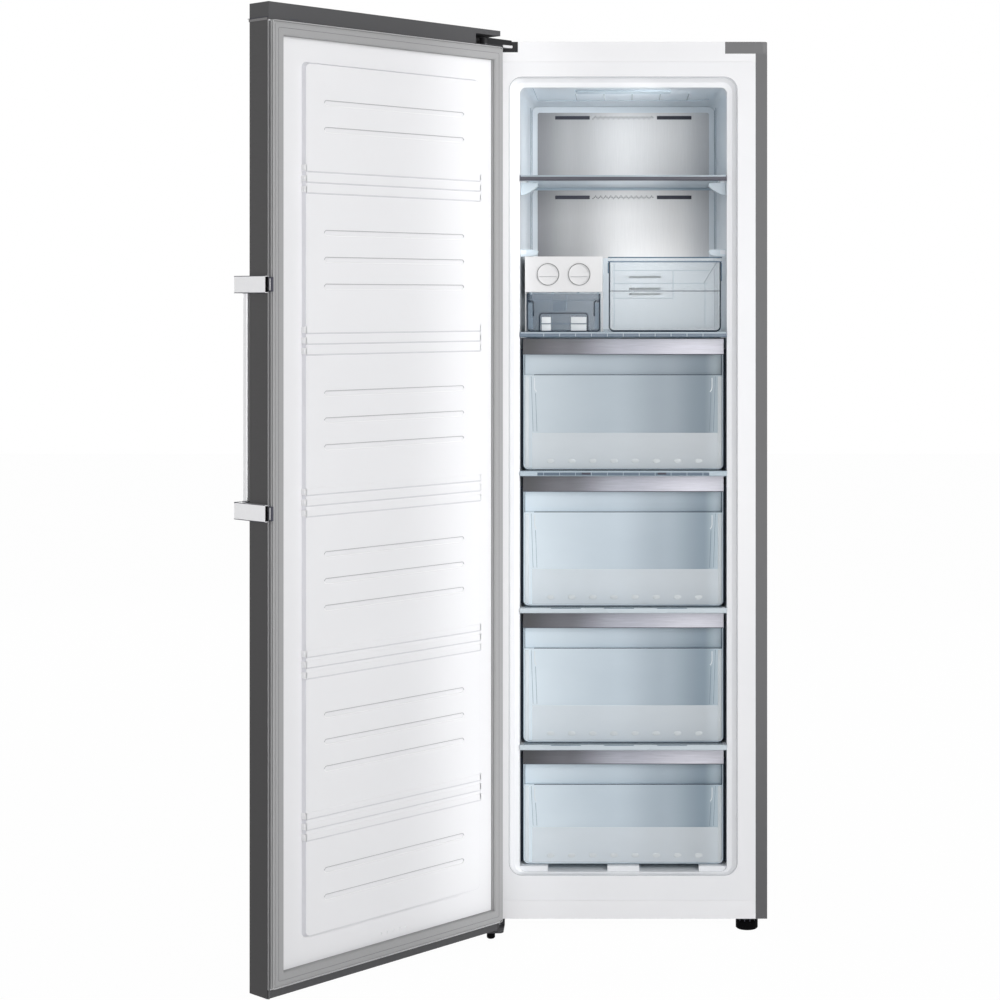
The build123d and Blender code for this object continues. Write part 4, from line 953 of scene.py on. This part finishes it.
class FREEZER_OT_ice_maker(bpy.types.Operator):
    """Knob rings and lines of painted shade under the grips, bucket edges and its pull"""

    bl_idname = "freezer.ice_maker"
    bl_label = "Ice maker"

    def execute(self, context):
        for body, x in KNOBS.items():
            side = body.removeprefix("twist_")
            ring = ring_mesh("ring", (x, KNOB_HEIGHT), 22.9, 21.9, 37.2, 38.6)
            solid(f"knob_ring_{side}", ring, "Dark line", body)
            # a grey line of painted shade under each knob's grip
            z = KNOB_HEIGHT - 4.2
            wires(f"knob_grip_{side}", [[(x - 17.5, 37.9, z), (x + 17.5, 37.9, z)]],
                  0.45, "Shade line", body)
        left, right, low = ICE_HOUSING
        y = BUCKET_FRONT
        wires("bucket_edges", [
            cup_line(-199.6, -49.4, 1241.4, 1319.5, y + 0.8, 6),
            [(-199.0, y, 1304.0), (-190.0, y, 1304.0), (-187.6, y, 1301.0), (-187.6, y, 1272.0)],
            [(-50.0, y, 1304.0), (-58.0, y, 1304.0), (-60.4, y, 1301.0), (-60.4, y, 1272.0)],
        ], 1.4, "Deep edge", "bucket")
        y = PULL_FRONT
        wires("pull_edge", [
            [(-175, y, 1241.5), (-175, y, 1271), (-173.4, y, 1276.4), (-170, y, 1278.8),
             (-79, y, 1278.8), (-75.6, y, 1276.4), (-74, y, 1271), (-74, y, 1241.5)],
        ], 1.2, "Deep edge", "bucket")
        blocks("pull_glints", [
            ((start, y - 0.3, z), (end, y + 0.3, top))
            for start, end in ((-170, -151), (-109, -77))
            for z, top in ((1257.6, 1271.0), (1242.4, 1255.6))
        ], "Glint", "bucket", soft=0.2)
        wires("pull_line", [[(-172, y + 0.1, 1256.6), (-76, y + 0.1, 1256.6)]],
              0.5, "Clear edge", "bucket")
        wires("bucket_inside", [
            [(-119.0, 60.0, 1284.0), (-119.0, 60.0, 1318.0)],
            [(-152.0, 60.0, 1284.0), (-150.0, 60.0, 1318.0)],
            [(-190.0, 60.0, 1306.0), (-60.0, 60.0, 1306.0)],
        ], 0.9, "Pale line", "bucket")
        blocks("bucket_light", [((-148, 60.5, 1282), (-121, 61.5, 1304))], "Soft line", "bucket")
        blocks("bucket_corners", [
            ((-198, 43.2, 1246), (-188.6, 43.8, 1300)), ((-59.6, 43.2, 1246), (-51, 43.8, 1300)),
        ], "Soft line", "bucket")
        blocks("ice_hooks", [
            ((x - 2.4, 44.0, low - 5.0), (x + 2.4, 50.0, low - 0.2))
            for x in (left + 12, left + 58, right - 50, right - 8)
        ], "Pale frame", "cabinet", 0.4)
        return {"FINISHED"}


class FREEZER_OT_small_drawer(bpy.types.Operator):
    """Thick blue edges, rim and mid line of the small drawer"""

    bl_idname = "freezer.small_drawer"
    bl_label = "Small drawer"

    def execute(self, context):
        left, right, low, high = SMALL_DRAWER
        body, y = "small_drawer", SMALL_DRAWER_FRONT
        wires("small_drawer_cup", [
            cup_line(left + 4.0, right - 4.0, low + 1.4, high - 10, y + 0.6, 9),
        ], 1.5, "Deep edge", body)
        wires("small_drawer_edge", [
            [(left + 1, y, z), (right - 1, y, z)] for z in (high - 1, high - 10)
        ], 1.2, "Clear edge", body)
        wires("small_drawer_shade", [
            cup_line(left + 4.6, right - 4.6, low + 0.2, 1340.0, y + 0.6, 9),
            [(left + 2, y + 0.4, MID_LINE), (right - 3, y + 0.4, MID_LINE)],
        ], 0.7, "Deep edge", body)
        wires("small_drawer_light", [
            cup_line(left + 8.0, right - 8.0, low + 4.4, high - 12, y + 0.6, 7),
            [(left + 3, y, high - 5), (right - 3, y, high - 5)],
        ], 0.8, "Glint", body)
        inside = y + 3.4
        wires("small_drawer_ribs", [
            [(left + 12, inside, 1368.0), (right - 24, inside, 1368.0)],
            [(left + 12, inside, 1341.0), (right - 30, inside, 1341.0)],
            [(104.0, inside, 1368.0), (104.0, inside, 1308.0)],
            [(left + 12, inside, 1310.0), (104.0, inside, 1310.0)],
            [(right - 12, inside, high - 12), (right - 32, 200.0, 1344.0)],
            [(left + 14, inside, high - 14), (left + 14, inside, low + 8)],
            [(right - 36, inside, 1340.0), (right - 36, inside, low + 8)],
        ], 0.8, "Pale line", body)
        blocks("small_drawer_lugs", [
            ((left + 0.5, y, high - 34), (left + 4.5, y + 1.4, high - 12)),
            ((right - 4.5, y, high - 50), (right - 0.5, y + 1.4, high - 12)),
        ], "Clear edge", body, soft=0.4)
        return {"FINISHED"}


class FREEZER_OT_air_plate(bpy.types.Operator):
    """Pinholes between the air slots of the steel plate, as dark discs of painted shade, and a
    sheet of painted shade behind the slots
    """

    bl_idname = "freezer.air_plate"
    bl_label = "Air plate"

    def execute(self, context):
        sizes = context.scene.freezer_sizes
        radius = sizes.pinhole / MM
        pitch = (sizes.pinhole_pitch / MM, 0, 0)
        hole = turned_mesh("pinhole", [(radius, 0.0), (radius, -0.25)], axis="Y", steps=8)
        # the pinholes are dark discs on the plate: painted shade of the holes
        rows("plate_pinholes", hole, [
            (PINHOLES, (-69.0, PLATE_FRONT + 0.05, height - PINHOLE_SWING), pitch)
            for height in AIR_SLOTS
        ], "Drawer runner", "cabinet", (0, 0, PINHOLE_SWING), 2.0)
        # a dark sheet behind the slots, where there is only shade: painted shade
        blocks("slot_backs", [
            ((x - 42, 458.2, height - 8), (x + 42, 459.4, height + 8))
            for height in AIR_SLOTS for x in (-SLOT_MIDDLE, SLOT_MIDDLE)
        ], "Slot dark", "cabinet", 0.3)
        return {"FINISHED"}


class FREEZER_OT_ceiling(bpy.types.Operator):
    """Moulded lines and ribs of the ceiling, lines of the side walls, a lit edge on the lamp"""

    bl_idname = "freezer.ceiling"
    bl_label = "Ceiling"

    def execute(self, context):
        z = CEILING
        wires("ceiling_lines", [[(-188, 24, z), (-188, 302, z), (160, 302, z), (188, 270, z)]],
              0.6, "Pale line", "cabinet")
        rib = block_mesh("rib", [((-1.2, -72, -1.0), (1.2, 72, 0.8))], 0.4, 1)
        # the ceiling's moulded ribs carry the painted highlight finish
        rows("ceiling_ribs", rib, [(5, (-102.0, 214.0, z), (60.5, 0, 0))],
             "Glint", "cabinet")
        # a paler strip along the lamp cover's edge: painted highlight
        blocks("lamp_edge", [((-98, 61.2, 1744.0), (98, 62.6, 1746.4))],
               "Pale line", "cabinet", soft=0.3)
        wires("side_lines", [
            [(side * x, y, 1404), (side * x, y, top)]
            for side in SIDES for x, y, top in ((208.2, 392, 1742), (207.4, 446, 1738))
        ], 0.5, "Soft line", "cabinet")
        return {"FINISHED"}


class FREEZER_OT_mouth(bpy.types.Operator):
    """A fine line of painted shade round the coved mouth, at the crease where the cove starts"""

    bl_idname = "freezer.mouth"
    bl_label = "Mouth line"

    def execute(self, context):
        wires("mouth_line", [rounded_frame(*MOUTH, -0.05, 27.0)], 0.6, "Shade line",
              "cabinet", closed=True)
        return {"FINISHED"}


class FREEZER_OT_door_lines(bpy.types.Operator):
    """Shade lines of the door's grooves and bars, and painted shade on the slope of its raised
    field
    """

    bl_idname = "freezer.door_lines"
    bl_label = "Door lines"

    def execute(self, context):
        left, right = GROOVES
        reach = GROOVE_REACH
        runs = []
        for middle, count in GROOVE_GROUPS:
            highest = middle + GROOVE_PITCH * (count - 1) / 2
            runs.append((count, (0, 0, highest), (0, 0, -GROOVE_PITCH)))
        for name, path, look in (
            ("groove_shades", upper_turns(left, right, reach, -3.1, reach), "Groove shade"),
            ("groove_lights", lower_turns(left, right, -reach, -3.1, reach), "Groove light"),
        ):
            rows(name, tube_mesh(name, path, 0.75, False, 1), runs, look, "door")
        # a sheet on the raised field's slope, greyer and cooler than the lining: painted shade
        shape = bmesh.new()
        loops = []
        left, right, low, high = FIELD
        for grow, depth in ((0.4, LINER_FOOT), (0.4, -3.4), (-0.4, -3.4), (-0.4, LINER_FOOT)):
            inset = 3.0 * (depth - LINER_FOOT) / 9.0 - grow
            loops.append(loop_of(shape, rounded_frame(
                left + inset, right - inset, low + inset, high - inset, depth, 10.0,
            )))
        skin(shape, loops + loops[:1])
        solid("field_slope", closed_mesh("field_slope", shape), "Field slope shade",
              "door")
        bars, ends = [], []
        for band in BAND_MIDDLES:
            for step in (-1, 0, 1):
                z = band + BAR_PITCH * step
                bars.append([(-231.5, -2.6, z - 6.9), (217.0, -2.6, z - 6.9)])
                ends.append(((216.0, LINER_FOOT, z - 5.75), (221.2, -1.5, z + 5.75)))
                ends.append(((-235.2, LINER_FOOT, z - 5.75), (-230.0, -1.5, z + 5.75)))
        wires("bar_shades", bars, 1.4, "Moulded shade", "door")
        blocks("bar_ends", ends, "Door lining", "door", 0.3)
        return {"FINISHED"}


class FREEZER_OT_gasket(bpy.types.Operator):
    """Painted highlights on the soft seal's bellows, its face line, and painted shade along the
    door's lip
    """

    bl_idname = "freezer.gasket"
    bl_label = "Gasket lines"

    def execute(self, context):
        # painted highlights on the faces of the seal's bellows
        fold_lights = [rounded_frame(-294.3, 294.3, 39, 1821, y, 3) for y in (-7.4, -2.7)]
        wires("gasket_folds", fold_lights, 0.6, "Seal light", "door", closed=True)
        # a dark strip along the door's lip: painted shade
        blocks("door_lip", [((294.7, -12.3, 20.0), (297.7, -11.8, 1820.0))], "Lip shade",
               "door", 0.1)
        wires("gasket_face_line", [rounded_frame(-283, 283, 52, 1808, -0.9, 3)], 0.45,
              "Seal shade", "door", closed=True)
        return {"FINISHED"}


class FREEZER_OT_door_top(bpy.types.Operator):
    """The seam under the door's top cap: a painted highlight on the free side and a line of
    painted shade along it
    """

    bl_idname = "freezer.door_top"
    bl_label = "Door caps"

    def execute(self, context):
        # a paler strip below the cap on the free side: painted highlight
        blocks("cap_seam", [((296.6, -70.6, 1821.6), (297.8, -16.0, 1826.4))],
               "Cap seam highlight", "door", 0.2)
        z = CAP_SEAM
        wires("cap_seam_shade", [[(298.3, -72.0, z), (298.3, -14.0, z), (226.0, -11.8, z)]],
              0.6, "Slot dark", "door")
        return {"FINISHED"}


class FREEZER_OT_handle(bpy.types.Operator):
    """Painted shade in the hollow ends of the handle's two arms and along their edges, and the
    arms' clips and joints
    """

    bl_idname = "freezer.handle"
    bl_label = "Handle fittings"

    def execute(self, context):
        hollows, clips, bright, joints, edges = [], [], [], [], []
        for low in ARM_LOWS:
            high = low + ARM_TALL
            joint = high if low < HANDLE_MIDDLE else low
            # black blocks at each arm's end: painted shade in the hollow there
            hollows.append(((299.2, -13.0, low + 1.2), (305.2, -11.5, high - 1.2)))
            clips.append(((294.6, -11.6, low + 2.2), (299.0, -1.2, low + 29.0)))
            bright.append(((294.2, -8.4, low + 4.4), (299.4, -4.4, low + 26.8)))
            joints.append(((251.6, -106.3, joint - 1.0), (284.9, -92.7, joint + 1.0)))
            # dark lines along each arm's top and bottom edges: painted shade
            for z in (low + 0.2, high - 0.2):
                edges.append([(305.4, -12.4, z), (305.4, -104.0, z), (303.6, -105.8, z),
                              (252.4, -105.8, z)])
        for name, boxes, look, soft in (
            ("handle_hollows", hollows, "Black plastic", 0.3),
            ("handle_clips", clips, "Slot dark", 0.5),
            ("handle_clip_faces", bright, "Bright metal", 0.4),
            ("handle_joints", joints, "Slot dark", 0.3),
        ):
            blocks(name, boxes, look, "door", soft)
        wires("handle_edges", edges, 0.7, "Slot dark", "door")
        return {"FINISHED"}


class FREEZER_OT_hinges(bpy.types.Operator):
    """Washer and rolled edge of the top hinge, and a glint on the foot's bracket"""

    bl_idname = "freezer.hinges"
    bl_label = "Hinge fittings"

    def execute(self, context):
        washer = turned_mesh(
            "washer", [(5.6, 1824.2), (6.4, 1824.6), (6.4, 1828.6), (5.6, 1829.2)],
            (HINGE.x / MM, HINGE.y / MM, 0), steps=28,
        )
        solid("hinge_washer", washer, "Bright metal", "cabinet")
        wires("hinge_roll", [[(-230.6, -3.2, 1828.8), (-249.0, -18.3, 1828.8)]], 3.2,
              "Bright metal", "cabinet")
        blocks("foot_bracket_glint", [((-262.0, -3.6, 4.0), (-254.0, -0.4, 17.5))],
               "Zinc sheet", "cabinet", 0.4)
        return {"FINISHED"}


class FREEZER_OT_screws(bpy.types.Operator):
    """Rows of screws down the back panel and across the machine cover, and the cover's seam"""

    bl_idname = "freezer.screws"
    bl_label = "Screws"

    def execute(self, context):
        sizes = context.scene.freezer_sizes
        radius = sizes.screw_head / MM
        count = sizes.back_screws
        back = CAD_BOX[1][1] / MM
        low, high = SCREW_HEIGHTS
        pitch = (0, 0, (high - low) / (count - 1))
        runs = [(count, (side * SCREW_SIDE, back, low), pitch) for side in SIDES]
        runs.append((COVER_SCREWS, (-270.0, back, COVER_TOP - 12.0), (COVER_PITCH, 0, 0)))
        blocks("cover_seam", [((-297.0, back - 0.4, COVER_TOP - 0.5),
                               (297.0, back + 0.1, COVER_TOP + 0.5))],
               "Slot dark", "cabinet")
        rows("back_screws", screw_mesh(radius), runs, "Screw", "cabinet")
        rows("back_screw_marks", cross_mesh(radius), runs, "Slot dark", "cabinet")
        return {"FINISHED"}


class FREEZER_OT_feet(bpy.types.Operator):
    """Notches round the right foot's collar"""

    bl_idname = "freezer.feet"
    bl_label = "Foot marks"

    def execute(self, context):
        notches = []
        for step in range(NOTCHES):
            angle = math.radians(360 / NOTCHES * step + 15)
            x = FOOT[0] + COLLAR_RADIUS * math.cos(angle)
            y = FOOT[1] + COLLAR_RADIUS * math.sin(angle)
            notches.append(((x - 0.7, y - 0.7, 18.0), (x + 0.7, y + 0.7, 25.5)))
        blocks("foot_notches", notches, "Slot dark", "foot_right", 0.2)
        return {"FINISHED"}


class FREEZER_OT_stage(bpy.types.Operator):
    """Floor, white room, lamps and camera"""

    bl_idname = "freezer.stage"
    bl_label = "Stage"

    def execute(self, context):
        scene = context.scene
        scene.view_settings.view_transform = "Standard"
        floor = bpy.data.meshes.new("floor")
        half = FLOOR_HALF
        floor.from_pydata(
            [(-half, -half, 0), (half, -half, 0), (half, half, 0), (-half, half, 0)],
            [], [(0, 1, 2, 3)],
        )
        piece = bpy.data.objects.new("floor", floor)
        scene.collection.objects.link(piece)
        floor.materials.append(floor_finish())
        scene.world = studio_world()
        for name, place, aim, wide, tall, spread, power in LAMPS:
            lamp = bpy.data.lights.new(name, "AREA")
            lamp.shape = "RECTANGLE"
            lamp.size = wide
            lamp.size_y = tall
            lamp.spread = math.radians(spread)
            lamp.energy = power
            holder = bpy.data.objects.new(name, lamp)
            scene.collection.objects.link(holder)
            holder.visible_camera = False
            holder.location = place
            way = Vector(aim) - Vector(place)
            holder.rotation_euler = way.to_track_quat("-Z", "Y").to_euler()
        camera = bpy.data.cameras.new("camera")
        camera.sensor_width = SENSOR_WIDTH
        camera.lens = CAMERA_LENS
        camera.shift_x, camera.shift_y = CAMERA_SHIFT
        holder = bpy.data.objects.new("camera", camera)
        scene.collection.objects.link(holder)
        holder.location = CAMERA_PLACE
        holder.rotation_euler = (math.radians(90), 0, 0)
        scene.camera = holder
        return {"FINISHED"}


class FREEZER_PT_panel(bpy.types.Panel):
    """Sizes, colours and steps of the freezer"""

    bl_label = "Upright freezer"
    bl_idname = "FREEZER_PT_panel"
    bl_space_type = "VIEW_3D"
    bl_region_type = "UI"
    bl_category = "Freezer"

    def draw(self, context):
        layout = self.layout
        for group in (context.scene.freezer_sizes, context.scene.freezer_colours):
            box = layout.box()
            for name in group.__annotations__:
                box.prop(group, name)
        for step in STEPS:
            layout.operator(step.bl_idname)


STEPS = (
    FREEZER_OT_finishes,
    FREEZER_OT_drawers,
    FREEZER_OT_drawer_gap_shade,
    FREEZER_OT_shelves,
    FREEZER_OT_ice_maker,
    FREEZER_OT_small_drawer,
    FREEZER_OT_air_plate,
    FREEZER_OT_ceiling,
    FREEZER_OT_mouth,
    FREEZER_OT_door_lines,
    FREEZER_OT_gasket,
    FREEZER_OT_door_top,
    FREEZER_OT_handle,
    FREEZER_OT_hinges,
    FREEZER_OT_screws,
    FREEZER_OT_feet,
    FREEZER_OT_stage,
)
CLASSES = (FreezerColours, FreezerSizes, *STEPS, FREEZER_PT_panel)


def register():
    for item in CLASSES:
        bpy.utils.register_class(item)
    bpy.types.Scene.freezer_colours = PointerProperty(type=FreezerColours)
    bpy.types.Scene.freezer_sizes = PointerProperty(type=FreezerSizes)


def unregister():
    del bpy.types.Scene.freezer_colours
    del bpy.types.Scene.freezer_sizes
    for item in reversed(CLASSES):
        bpy.utils.unregister_class(item)


def main():
    register()
    bpy.ops.freezer.finishes()
    bpy.ops.freezer.drawers()
    bpy.ops.freezer.drawer_runners()
    bpy.ops.freezer.shelves()
    bpy.ops.freezer.ice_maker()
    bpy.ops.freezer.small_drawer()
    bpy.ops.freezer.air_plate()
    bpy.ops.freezer.ceiling()
    bpy.ops.freezer.mouth()
    bpy.ops.freezer.door_lines()
    bpy.ops.freezer.gasket()
    bpy.ops.freezer.door_top()
    bpy.ops.freezer.handle()
    bpy.ops.freezer.hinges()
    bpy.ops.freezer.screws()
    bpy.ops.freezer.feet()
    bpy.ops.freezer.stage()


if __name__ == "__main__":
    main()
